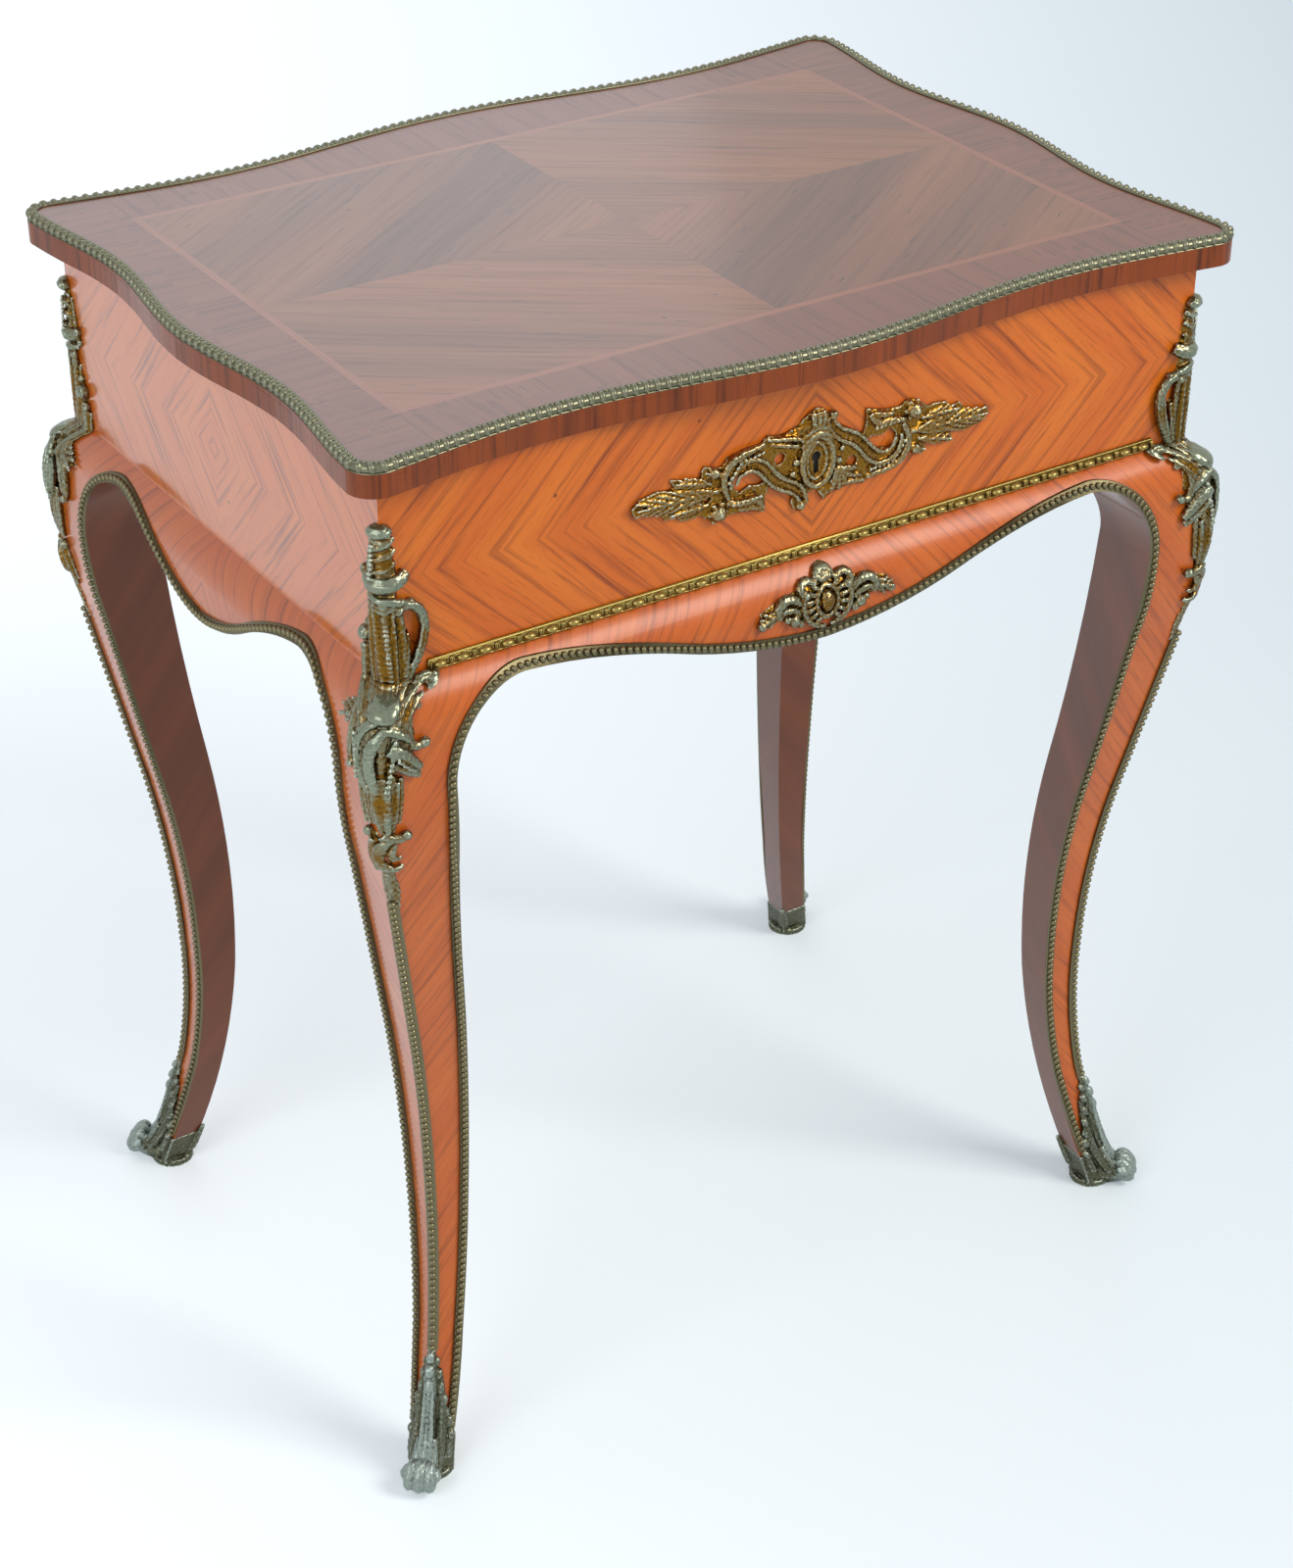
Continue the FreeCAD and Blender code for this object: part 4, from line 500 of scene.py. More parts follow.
def acanthus(wax, base, tip, width, out=1.5, lobes=4, curl=2.0, thick=1.5):
    """A raffled leaf: a midrib with lobes on both sides that curl up at their ends."""
    base, tip = Vector((*base, 0.0)), Vector((*tip, 0.0))
    length = (tip - base).length
    forward = (tip - base).normalized()
    side = Vector((-forward.y, forward.x, 0.0))
    up = Vector((0.0, 0.0, 1.0))
    stroke(wax, [base, base.lerp(tip, 0.35), base.lerp(tip, 0.7), tip],
           (width * 0.4, width * 0.72, width * 0.5, width * 0.12), min(1.0, 1.3 / width))
    stroke(wax, [base + up * out, base.lerp(tip, 0.5) + up * (out + 0.6), tip + up * (out + curl)],
           (thick * 1.3, thick, thick * 0.55))
    thick = max(thick, width * 0.2)
    for index in range(lobes):
        share = 0.08 + 0.8 * index / lobes
        spread = width * (1.0 - 0.75 * abs(share - 0.35) / 0.65)
        reach = length * (0.34 - 0.12 * share)
        root = base.lerp(tip, share)
        for hand in (-1, 1):
            end = root + forward * reach + side * (hand * spread)
            middle = root + forward * (reach * 0.35) + side * (hand * spread * 0.62)
            stroke(wax, [root + up * out, middle + up * (out + 0.5), end + up * (out * 0.6 + curl * 0.5)],
                   (thick * 0.9, thick * 0.95, thick * 0.45))
            stroke(wax, [root.lerp(middle, 0.3) + up * (out - 0.8),
                         middle.lerp(end, 0.4) + forward * 0.8 + up * (out - 0.9)],
                   (thick * 1.1, thick * 1.2))


def volute(wax, points, radii, eye=2.4, out=2.0):
    """A C scroll that ends in a round eye."""
    stroke(wax, [(x, y, out) for x, y in points], radii)
    bead(wax, points[-1][0], points[-1][1], out + 0.6, eye)


def settled(piece):
    """The piece's mesh with its modifiers worked in."""
    shaped = bpy.data.meshes.new_from_object(piece.evaluated_get(bpy.context.evaluated_depsgraph_get()))
    piece.modifiers.clear()
    return shaped


hammer = bpy.data.textures.new("hammer_marks", "CLOUDS")
hammer.noise_scale = HAMMER_SIZE
hammer.noise_depth = 1


def cast(name, wax, voxel, backing=BACKING, gilt=()):
    """Runs the wax together, cuts its back flat, and notes the relief for the patina. gilt holds
    the places that have kept their gilding: across, up, spread, and how much."""
    piece = piece_of(name, wax)
    fuse = piece.modifiers.new("run_together", "REMESH")
    fuse.mode = "VOXEL"
    fuse.voxel_size = voxel
    chase = piece.modifiers.new("chasing", "DISPLACE")
    chase.texture = hammer
    chase.texture_coords = "LOCAL"
    chase.strength = HAMMER_DEPTH
    chase.mid_level = HAMMER_REST
    shaped = settled(piece)
    solid = bmesh.new()
    solid.from_mesh(shaped)
    bmesh.ops.bisect_plane(solid, geom=solid.verts[:] + solid.edges[:] + solid.faces[:], dist=0.0001,
                           plane_co=(0, 0, backing), plane_no=(0, 0, -1), clear_outer=True)
    rim = [edge for edge in solid.edges if edge.is_boundary]
    if rim:
        bmesh.ops.triangle_fill(solid, edges=rim, use_beauty=False, normal=(0, 0, -1))
    solid.to_mesh(shaped)
    solid.free()
    piece.data = shaped
    shaped.name = name
    relief = shaped.attributes.new("relief", "FLOAT", "POINT")
    spots = np.empty(len(shaped.vertices) * 3)
    shaped.vertices.foreach_get("co", spots)
    spots = spots.reshape(-1, 3)
    rise = np.maximum(spots[:, 2], 0.0) / 1000
    for across, up, spread, amount in gilt:
        near = (spots[:, 0] - across) ** 2 + (spots[:, 1] - up) ** 2
        rise -= amount * np.exp(-near / spread ** 2)
    relief.data.foreach_set("value", rise)
    for polygon in shaped.polygons:
        polygon.use_smooth = True
    return piece


def bend(piece, to_place):
    """Moves each point of the flat casting to its place, given a function of a flat array."""
    count = len(piece.data.vertices)
    flat = np.empty(count * 3)
    piece.data.vertices.foreach_get("co", flat)
    piece.data.vertices.foreach_set("co", to_place(flat.reshape(-1, 3)).ravel())
    piece.data.update()


def outward(piece):
    """Makes the faces look out after a casting is turned inside out by a mirrored bend."""
    shell = bmesh.new()
    shell.from_mesh(piece.data)
    bmesh.ops.recalc_face_normals(shell, faces=shell.faces[:])
    shell.to_mesh(piece.data)
    shell.free()


def fit(piece, material, slot, body, *replaced):
    """Gives a piece its material, hangs it on the body it moves with, and hides the parts it stands for."""
    piece.data.materials.append(material)
    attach(piece, body)
    if replaced:
        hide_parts(*replaced)


def tree_of(*names):
    """The surface of some CAD nodes, for laying trim on."""
    shape = bmesh.new()
    for name in names:
        shape.from_mesh(nodes[name].data)
    found = BVHTree.FromBMesh(shape)
    shape.free()
    return found


# the outer faces' double curve, read off the front left leg once for each millimetre of height
front_left = tree_of("leg_front_left")
heights = np.arange(0.006, LEG_TOP, 0.001)
edge_x, edge_y = [], []
for level in heights:
    reach = [PROBE_STEP * step - 0.02 for step in range(PROBES)]
    hits_x = [front_left.ray_cast(Vector((-PROBE_FROM, aside - WALL_Y, level)), Vector((1, 0, 0)))[0]
              for aside in reach]
    hits_y = [front_left.ray_cast(Vector((aside - WALL_X, -PROBE_FROM, level)), Vector((0, 1, 0)))[0]
              for aside in reach]
    edge_x.append(max(-hit.x for hit in hits_x if hit))
    edge_y.append(max(-hit.y for hit in hits_y if hit))


def face_x(level):
    """How far the side faces stand from the middle at a height."""
    return np.where(level >= LEG_TOP, WALL_X, np.interp(level, heights, edge_x))


def face_y(level):
    """How far the front and back faces stand from the middle at a height."""
    return np.where(level >= LEG_TOP, WALL_Y, np.interp(level, heights, edge_y))


def hands(corner):
    """Which way a corner lies from the middle, along X and Y."""
    return (-1 if "left" in corner else 1), (-1 if "front" in corner else 1)


def round_corner(corner):
    """Bends a flat casting round a corner: across is measured from the corner's edge, positive
    along the front or back face and negative along the side face."""
    hand_x, hand_y = hands(corner)

    def to_place(flat):
        across, up, out = flat[:, 0], flat[:, 1] / 1000, flat[:, 2]
        bow = np.sqrt(across ** 2 + CORNER_ROUND ** 2)
        lean = (1 + across / bow) / 2
        length = np.hypot(lean, 1 - lean)
        inward_x = (across + bow) / 2 - out * (1 - lean) / length
        inward_y = (bow - across) / 2 - out * lean / length
        x = face_x(up) - inward_x / 1000
        y = face_y(up) - inward_y / 1000
        return np.column_stack((hand_x * x, hand_y * y, up))

    return to_place


def corner_wax():
    """Across is to the front of the corner, minus is to its side, and up is from the floor."""
    wax = bmesh.new()
    # the bodies: finial, collar, stem, knee, side leaf, bulb, plumes and drop leaf
    for points, radii, flat in (
            ([(0, 692, 0), (0, 682, 0), (0, 670, 0), (0, 660, 0)], (5.5, 6.8, 8.2, 9.4), 0.66),
            ([(0, 656, 0), (1, 632, 0), (2, 610, 0), (2, 588, 0)], (8, 10.5, 10.5, 11.5), 0.56),
            ([(1, 600, 0), (2, 578, 0), (1, 556, 0), (2, 540, 0)], (12, 16, 13, 8), 0.32),
            ([(-11, 634, 0), (-15, 614, 0), (-14, 592, 0), (-8, 574, 0)], (2.8, 5.4, 7.4, 7), 0.5),
            ([(12, 628, 0), (11, 610, 0), (8, 590, 0)], (2.6, 5, 6), 0.6),
            ([(3, 550, 0), (4.6, 534, 0), (3.6, 520, 0), (3, 510, 0)], (7.4, 9.8, 8, 4.4), 0.74),
            ([(-8, 558, 0), (-10.5, 538, 0), (-8, 516, 0)], (5.4, 7.4, 4.8), 0.46),
            ([(-3, 582, 2.4), (-8, 566, 2.8), (-5, 548, 2.6)], (4.4, 5.6, 4.4), 0.7),
            ([(10, 590, 0), (15, 578, 0), (20, 568, 0)], (6, 7, 4), 0.4),
            ([(-10, 586, 0), (-20, 578, 0), (-24, 562, 0)], (5, 5.6, 3.6), 0.4),
            ([(2, 586, 3), (9, 579, 3.4), (14, 570, 3)], (4, 4.4, 3.6), 0.7),
            ([(4, 568, 0), (13, 561, 0), (22, 551, 0)], (8, 7.4, 4), 0.5),
            ([(0, 510, 0), (-3.6, 498, 0), (0, 484, 0)], (7, 8.6, 5), 0.34),
            ([(0, 490, 0), (0, 470, 0), (0.5, 455, 0)], (5, 5, 2), 0.34)):
        stroke(wax, points, radii, flat)
    # knob, twisted ribs and their beads
    bead(wax, 0, 691, 3.0, 6.2, 0.72, 14)
    stroke(wax, [(-6, 685, 2), (0, 684, 5.2), (6, 686, 2)], (1.2, 1.6, 1.2))
    for base in (655, 662.5, 670, 677):
        stroke(wax, [(-8, base, 1.5), (-1, base + 4, 6.4), (7.4, base + 9, 2.0)], (1.5, 2.4, 1.5))
    bead_row(wax, (-3.6, 663, 7.4), (-2.4, 683, 6.4), 2.8, 1.2)
    stroke(wax, [(-7.6, 684, 1), (-9.6, 672, 1), (-12, 660, 1)], (1.4, 2.0, 2.2))
    # collar like a folded turban, its end curled over to the front
    stroke(wax, [(-14, 662, 0), (-6, 657, 4.6), (5, 658, 5.4), (13.6, 663, 1.2)], (3.4, 5.8, 6.2, 4.0))
    stroke(wax, [(-12, 652, 0.5), (-3, 650, 6.6), (6, 648.5, 6.6), (15, 644.5, 2.2)], (2.0, 2.5, 2.3, 2.2))
    stroke(wax, [(-9, 648, 2), (0, 645.6, 6.0), (8, 643, 5.0), (14.5, 642, 1.6)], (1.4, 1.9, 1.8, 1.8))
    bead(wax, 15.6, 644.4, 2.4, 3.2)
    bead(wax, -14.6, 663, 1.6, 3.2)
    bead(wax, -15.4, 656, 1.0, 2.6)
    # the fluted stem: a rim each side, a hollow, and a beaded midrib
    for x1, x2, x3, x4, out, radius in (
            (-7.2, -9.2, -8.4, -5.6, 3.0, 2.2), (-3.4, -3.4, -2.0, 0.2, 5.4, 0.9),
            (0.4, 1.0, 2.0, 2.4, 6.0, 0.9), (3.8, 4.6, 5.0, 4.6, 5.4, 0.9),
            (7.2, 10.4, 11.2, 9.0, 3.2, 2.2)):
        stroke(wax, [(x1, 647, out), (x2, 630, out), (x3, 610, out), (x4, 590, out)],
               (radius, radius, radius))
    stroke(wax, [(-6, 645, 4.0), (0.4, 641, 6.4), (6.4, 645, 4.0)], (1.4, 1.6, 1.4))
    bead_row(wax, (0.9, 632, 6.6), (2.2, 600, 6.4), 2.7, 0.9)
    # loop on the front face, open in the middle
    stroke(wax, [(6, 641, 3), (12, 645.5, 4), (19.5, 643, 4), (24, 632, 3.4), (22.5, 618, 3), (16, 605, 3),
                 (9, 596, 3)], (2.0, 2.9, 3.4, 3.2, 3.0, 3.0))
    bead(wax, 7.6, 641.5, 4.0, 3.0)
    stroke(wax, [(13, 626, 2.4), (12.4, 616, 4), (10, 600, 4.4)], (1.4, 1.8, 1.8))
    stroke(wax, [(21.5, 631, 6), (20, 618, 5.6), (14, 605, 5)], (0.9, 1.3, 1.3))
    # bud and split leaf on the side face
    bead(wax, -16, 623, 2.4, 5.0)
    bead(wax, -13, 631, 1.4, 3.0)
    bead(wax, -18.6, 613, 2.4, 2.6)
    stroke(wax, [(-17, 616, 2.6), (-18.4, 603, 2.8), (-17, 590, 3), (-11, 576, 3)], (2.2, 2.8, 3.0, 3.2))
    stroke(wax, [(-12, 640, 1), (-10.5, 628, 1.6), (-10, 606, 2.4), (-8, 590, 3)], (1.0, 1.8, 1.8, 2.0))
    stroke(wax, [(-21, 610, 0.8), (-21, 596, 1), (-18, 584, 1.4)], (1.2, 2.2, 2.4))
    # shell boss
    bead(wax, 2.6, 588, 4.4, 6.8, 1.0, 14)
    for turn in range(7):
        angle = math.radians(-30 + turn * 40)
        stroke(wax, [(2.6, 588, 10.6), (2.6 + 4.4 * math.cos(angle), 588 + 4.4 * math.sin(angle), 9),
                     (2.6 + 7.2 * math.cos(angle), 588 + 7.2 * math.sin(angle), 5)], (0.8, 1.4, 1.1))
    # volutes to the front: one up beside the moulding, one down with a curled foot
    volute(wax, [(8, 568), (9.5, 583), (14, 594), (22, 599.5), (28, 595.5)], (3.4, 3.2, 3.0, 2.6), 3.8, 3.2)
    stroke(wax, [(13, 570, 4), (14.4, 581, 4.4), (19, 589.6, 4), (24, 591, 3)], (1.4, 1.9, 1.8, 1.5))
    volute(wax, [(20.5, 591), (16.5, 581), (17, 569), (22, 562.5), (28, 565.5)],
           (2.0, 2.5, 2.8, 2.6), 3.2, 3.0)
    stroke(wax, [(14.5, 588, 3.2), (12.6, 577, 4), (14.6, 565, 3.6), (21, 558.5, 2.6)],
           (1.8, 2.2, 2.0, 1.4))
    stroke(wax, [(12, 590, 2), (18, 588, 3), (25, 585, 2)], (2.2, 2.4, 1.3))
    # leaf to the side, its tip curling off the leg, and the volute under it
    acanthus(wax, (-6, 585), (-35, 575), 7.5, 2.4, 4, 2.6, 1.9)
    volute(wax, [(-16, 588), (-22, 577), (-24.5, 564), (-28, 553.5), (-25, 549)],
           (3.0, 3.2, 2.6, 2.0), 3.2, 2.4)
    stroke(wax, [(-12, 580, 3), (-17.5, 570, 3.4), (-20, 558, 3), (-23, 548, 2)], (1.6, 2.3, 2.0, 1.2))
    # beaded cartouche about a dark hollow
    stroke(wax, [(1, 585, 5.4), (-8, 578, 6.2), (-13, 566, 6.4), (-11.4, 551, 6), (-4, 540, 4.6)],
           (2.0, 2.9, 3.3, 2.9, 2.0))
    stroke(wax, [(3, 580, 6), (-1.6, 572, 7.4), (-3.6, 561, 7.6), (-2, 549, 6.6), (-1, 541, 4.6)],
           (1.8, 2.2, 2.4, 2.2, 1.6))
    stroke(wax, [(2, 579, 5), (8, 577.5, 6.4), (15, 573, 5.4), (19, 568, 3.4)], (2.0, 2.7, 2.6, 1.8))
    bead_row(wax, (-11.4, 575, 9.0), (-10.4, 549, 8.6), 3.0, 1.25)
    bead_row(wax, (7.6, 572, 7.4), (3.4, 543, 7.0), 3.2, 1.45)
    # ragged leaf that folds over the front face under the cartouche
    stroke(wax, [(5, 568, 4.6), (12, 564, 6), (18, 558, 4.8), (25, 551, 2.6)], (4.4, 4.8, 4.0, 2.6))
    stroke(wax, [(6, 559, 5.0), (12, 554.5, 5.6), (18, 549.6, 4.2), (24.4, 546.4, 2.4)],
           (2.6, 2.8, 2.6, 2.2))
    for along in (0, 1, 2):
        stroke(wax, [(8 + along * 3.6, 562 - along * 3.6, 10.4 - along),
                     (15 + along * 3.4, 556 - along * 2.8, 8.0 - along)], (0.9, 0.6))
    # flutes on the bulb and beside it, and the nub under it
    for across, out in ((-2.6, 5.2), (3.2, 6.6), (9.4, 5.0)):
        stroke(wax, [(across + 0.6, 546, out - 1), (across, 532, out),
                     (3 + (across - 3) * 0.5, 513, out - 3)], (1.4, 1.9, 1.4))
    stroke(wax, [(13, 547, 1.2), (13.6, 534, 1.8), (10, 518, 1.4)], (1.8, 2.4, 1.8))
    for across in (-6.6, -10.8, -15):
        stroke(wax, [(across + 1, 553, 3), (across, 538, 3.4),
                     (across + 3, 516 + (across + 15) * 0.3, 2.2)], (1.7, 2.3, 1.5))
    volute(wax, [(0, 511), (5, 507), (10, 506), (14, 508.5)], (3.0, 3.2, 3.0, 3.0), 3.4, 2.6)
    bead(wax, -10.6, 510, 2.2, 3.8)
    # plumes over the drop leaf
    for points, radii in (
            ([(3, 508, 3.4), (-4, 500, 4.4), (-3.6, 489, 4), (4, 483.5, 3.4), (9.4, 487, 2.2)],
             (2.8, 3.4, 3.2, 2.6, 1.6)),
            ([(6, 504, 2.8), (2.0, 498, 5.4), (3.0, 491, 4.6), (9, 494, 2.4)], (1.9, 2.3, 2.1, 1.3)),
            ([(-6, 507, 2.4), (-10.6, 498, 3.0), (-11.4, 488, 2.2), (-8.6, 480, 1.4)],
             (2.8, 3.0, 2.4, 1.4)),
            ([(-10, 505, 1), (-14, 496, 1.2), (-13.4, 486, 0.8)], (1.8, 2.0, 1.2))):
        stroke(wax, points, radii)
    acanthus(wax, (0, 489), (0.6, 453), 5.2, 2.0, 5, 1.0, 1.6)
    return wax


flat_mount = cast("corner_mount_flat", corner_wax(), voxel=0.68, gilt=STEM_GILT)
for corner in CORNERS:
    mount = bpy.data.objects.new("cast_corner_mount_" + corner, flat_mount.data.copy())
    scene.collection.objects.link(mount)
    bend(mount, round_corner(corner))
    outward(mount)
    fit(mount, mount_brass, "mount_bronze", "table", "corner_mount_" + corner)
bpy.data.objects.remove(flat_mount)


# Keyhole escutcheon: two C scrolls turned half round from each other about a shell and a
# moulded keyhole ring, with acanthus running out to both ends. Cast pierced in brass, pinned
# flat on the front frieze, and browner than the other mounts.
escutcheon_brass = metal("patinated_brass_escutcheon", "#8E8E70", "#8E621C", "#0E0A04", roughness=0.24,
                         relief=0.0115, wear=0.5)
finish(escutcheon_brass, "mount_bronze", "escutcheon")
FLAT_BACK, PLATE_THICK, PLATE_EDGE, PLATE_SUNK = 0.2, 2.0, 0.3, 0.4
KEY_EYE, KEY_EYE_UP, KEY_SLOT, KEY_SLOT_UP = 3.2, 2.4, (3.6, 9.6), -3.4
# the painted-shade disc behind the keyhole: radius, thickness, and how far below the lock level
SHADE_DISC_RADIUS, SHADE_DISC_THICK, SHADE_DISC_DOWN = 0.0090, 0.0004, 0.001
# left half of the outline, from the knob round to the foot; the right is the same turned half round
HALF_OUTLINE = (
    (-5, 31), (-10, 28), (-12, 22), (-18, 23.5), (-24, 21), (-34, 24), (-37, 22), (-37, 18.5), (-50, 19),
    (-58, 18.4), (-63, 15.5), (-66, 13), (-71, 13), (-77.5, 16), (-80, 13.5), (-79.5, 9), (-91, 11),
    (-101, 13.6), (-98, 6.5), (-110, 8.7), (-121, 6.8), (-127, 2), (-125.5, -3), (-121, -0.6),
    (-114, -4.2), (-107, -7), (-104.5, -10.7), (-98, -9.4), (-95, -13.3), (-86, -14.6), (-81, -13.4),
    (-76.5, -17.2), (-70, -21.4), (-65, -21.5), (-60, -18.6), (-49, -19.7), (-42, -21.6), (-36, -23.3),
    (-36, -14), (-34, -8), (-28.6, -11.3), (-21.6, -15.7), (-16, -19.2), (-17, -23.3), (-15, -27.7),
    (-10, -29.7), (-6, -26.4), (-6.6, -19.7))
SCROLL_HOLE = (
    (-58, -2.7), (-59, 3), (-54.4, 5.6), (-45.5, 4), (-38.6, 0.2), (-35.7, -4.4), (-40.5, -5.6),
    (-46.7, -4), (-54, -7))
ROUND_HOLES = (((-26, 7.5), 4.0), ((-76, -4), 3.4))
ESCUTCHEON_BODIES = (
    ([(-63, -5, 0), (-64, 7, 0), (-55, 13, 0), (-44, 12, 0), (-35, 4, 0), (-28, -5, 0), (-18, -12, 0),
      (-10, -18, 0), (-8, -26, 0)], (4, 5, 5.2, 5.2, 5, 5, 4.6, 4, 3), 0.56),
    ([(-38, 17, 0), (-50, 17, 0), (-62, 14, 0)], (3.4, 4, 3.6), 0.6),
    ([(-62, -12, 0), (-52, -13.5, 0), (-42, -15, 0), (-38, -20, 0)], (4, 5, 4.6, 3), 0.6),
    ([(-34, 19, 0), (-23, 17, 0), (-12, 19, 0), (-4, 24, 0)], (3.4, 4.6, 5, 5), 0.6),
    ([(-66, 1, 0), (-90, 1, 0), (-110, 1, 0), (-124, 2, 0)], (6, 9, 6.4, 3), 0.3),
)
ESCUTCHEON_STROKES = (
    # the big scroll: two bands that arch over its hole
    ([(-37, 20, 2), (-48, 18.5, 3), (-58, 17.5, 3.2), (-66, 10, 3.2), (-67, 0, 3), (-62, -8, 2.4)],
     (1.6, 2.2, 2.4, 2.4, 2.2, 1.8)),
    # the ribbon from the scroll down to the curled foot under the keyhole
    ([(-61, -2, 3.2), (-61, 6, 3.6), (-54, 12.5, 3.8), (-44, 13.5, 3.8), (-36, 9, 3.8), (-30, 0, 3.6),
      (-23, -6, 3.4), (-14, -10, 3.2), (-8, -17, 2.8), (-6.6, -25, 2.0)],
     (1.0, 1.3, 1.4, 1.4, 1.4, 1.4, 1.4, 1.4, 1.4, 1.8)),
    ([(-57, -1, 3.0), (-56, 4, 3.2), (-50, 7.4, 3.4), (-43, 5, 3.4), (-37, -2, 3.4), (-31, -9, 3.2),
      (-23, -14, 3.0), (-15, -17, 2.6), (-11, -24, 2.2)], (0.9, 1.2, 1.3, 1.3, 1.3, 1.3, 1.3, 1.3)),
    # the ragged scroll under the hole
    ([(-63, -10, 2), (-56, -13, 3), (-48, -12, 3), (-41, -13, 2.6), (-38, -20, 2)],
     (2.2, 3.0, 2.8, 2.6, 2.2)),
    ([(-55, -17, 2), (-49, -16.5, 3), (-44, -18, 2.4), (-40, -19.5, 2)], (1.6, 2.4, 2.4, 1.8)),
    # moulded edge of the shell beside the ring
    ([(-35, 22, 2), (-25, 19, 3), (-15, 20, 3), (-10, 15, 3)], (1.3, 1.7, 1.7, 1.4)),
    ([(-33, 18, 2), (-22, 15, 3), (-14, 13, 3)], (1.1, 1.4, 1.2)),
)
# the acanthus: base, tip, width and lobes
ESCUTCHEON_LEAVES = (((-68, -1), (-125, 1), 7.0, 6), ((-74, 5), (-99, 11), 4.0, 4),
                     ((-76, -8), (-103, -8), 4.0, 4), ((-66, 8), (-79, 13), 3.0, 2))
# the bead rows: start and end
ESCUTCHEON_ROWS = (((-39, 15.5, 3.6), (-54, 13.5, 4.4)), ((-55, 13.0, 4.4), (-63, 3, 4.4)),
                   ((-41, -11, 5), (-60, -12, 5)))
ROSETTE_X, ROSETTE_Y, ROSETTE_RING = -69.5, -15, 5.6


def plate(wax, loops, thick):
    """A flat plate with soft edges: the first loop is its outline, the others are piercings."""
    curve = bpy.data.curves.new("plate", "CURVE")
    curve.dimensions = "2D"
    curve.fill_mode = "BOTH"
    curve.extrude = thick / 2
    curve.bevel_depth = PLATE_EDGE
    for loop in loops:
        spline = curve.splines.new("POLY")
        spline.points.add(len(loop) - 1)
        for spot, knot in zip(loop, spline.points):
            knot.co = (*spot, 0.0, 1.0)
        spline.use_cyclic_u = True
    holder = bpy.data.objects.new("plate", curve)
    mesh = bpy.data.meshes.new_from_object(holder)
    mesh.transform(Matrix.Translation((0, 0, thick / 2 - PLATE_SUNK)))
    wax.from_mesh(mesh)
    bpy.data.objects.remove(holder)
    bpy.data.curves.remove(curve)
    bpy.data.meshes.remove(mesh)


def both_ways(points):
    """The points as they are, and turned half round about the keyhole."""
    return [list(points), [(-spot[0], -spot[1], *spot[2:]) for spot in points]]


left, right = both_ways(HALF_OUTLINE)
outline = left + [(4, -18.5), (9, -17)] + right[2:-5] + [(9.5, 20.5), (9, 26), (5, 31.5), (0, 33)]
piercings = both_ways(SCROLL_HOLE)
for (across, up), radius in ROUND_HOLES:
    piercings += both_ways([(across + radius * math.cos(turn * math.pi / 5),
                             up + radius * math.sin(turn * math.pi / 5)) for turn in range(10)])
wax = bmesh.new()
plate(wax, [outline] + piercings, PLATE_THICK)
for hand in (1, -1):
    for points, radii, flat in ESCUTCHEON_BODIES:
        stroke(wax, [(x * hand, y * hand, out) for x, y, out in points], radii, flat)
    for points, radii in ESCUTCHEON_STROKES:
        stroke(wax, [(x * hand, y * hand, out) for x, y, out in points], radii)
    for base, tip, width, lobes in ESCUTCHEON_LEAVES:
        acanthus(wax, (base[0] * hand, base[1] * hand), (tip[0] * hand, tip[1] * hand), width, 2.4, lobes,
                 1.4, 1.0)
    # rosette with a ring of beads, the bead row in the scroll, the foot's curl
    bead(wax, ROSETTE_X * hand, ROSETTE_Y * hand, 2.4, 5.2, 1.0, 12)
    bead(wax, ROSETTE_X * hand, ROSETTE_Y * hand, 6.4, 2.4, 1.0, 10)
    bead(wax, -72 * hand, 11 * hand, 2.4, 3.6)
    for index in range(6):
        turn = index * math.pi / 3
        bead(wax, (ROSETTE_X + ROSETTE_RING * math.cos(turn)) * hand,
             (ROSETTE_Y + ROSETTE_RING * math.sin(turn)) * hand, 2.4, 1.7)
    for start, end in ESCUTCHEON_ROWS:
        bead_row(wax, (start[0] * hand, start[1] * hand, start[2]), (end[0] * hand, end[1] * hand, end[2]),
                 3.0, 1.2)
    bead(wax, -11 * hand, -26.5 * hand, 2.0, 3.2)
    bead(wax, -15.5 * hand, 3 * hand, 3.0, 2.4)
    bead(wax, -17.5 * hand, -4 * hand, 3.0, 1.9)
# the moulded ring about the keyhole, two ribs of shell over it, the knob and the fan
for radius_u, radius_v, out, thick in ((11.4, 16.4, 3.4, 2.0), (7.4, 12.0, 2.4, 1.2)):
    loop = [(radius_u * math.sin(turn * math.pi / 6), radius_v * math.cos(turn * math.pi / 6), out)
            for turn in range(13)]
    stroke(wax, loop, (thick, thick))
for rise, out in ((18.5, 4.4), (22, 3.6)):
    stroke(wax, [(-11, rise - 8, 2.4), (-6, rise - 1, out), (0, rise, out + 0.6), (6, rise - 1, out),
                 (11, rise - 8, 2.4)], (1.2, 1.7, 1.8, 1.7, 1.2))
for turn in range(-1, 2):
    stroke(wax, [(turn * 2, 21, 3), (turn * 4.6, 26, 4.6), (turn * 3.0, 31, 2.6)], (1.4, 2.2, 1.6))
for turn in range(-2, 3):
    angle = math.radians(-58 + turn * 22)
    tip = (14 + 15 * math.cos(angle), -8 + 15 * math.sin(angle))
    stroke(wax, [(14, -8, 2.8), ((14 + tip[0]) / 2, (-8 + tip[1]) / 2, 4.2), (*tip, 2.0)], (1.5, 2.2, 1.5))
escutcheon = cast("cast_escutcheon", wax, voxel=0.62, backing=-FLAT_BACK)
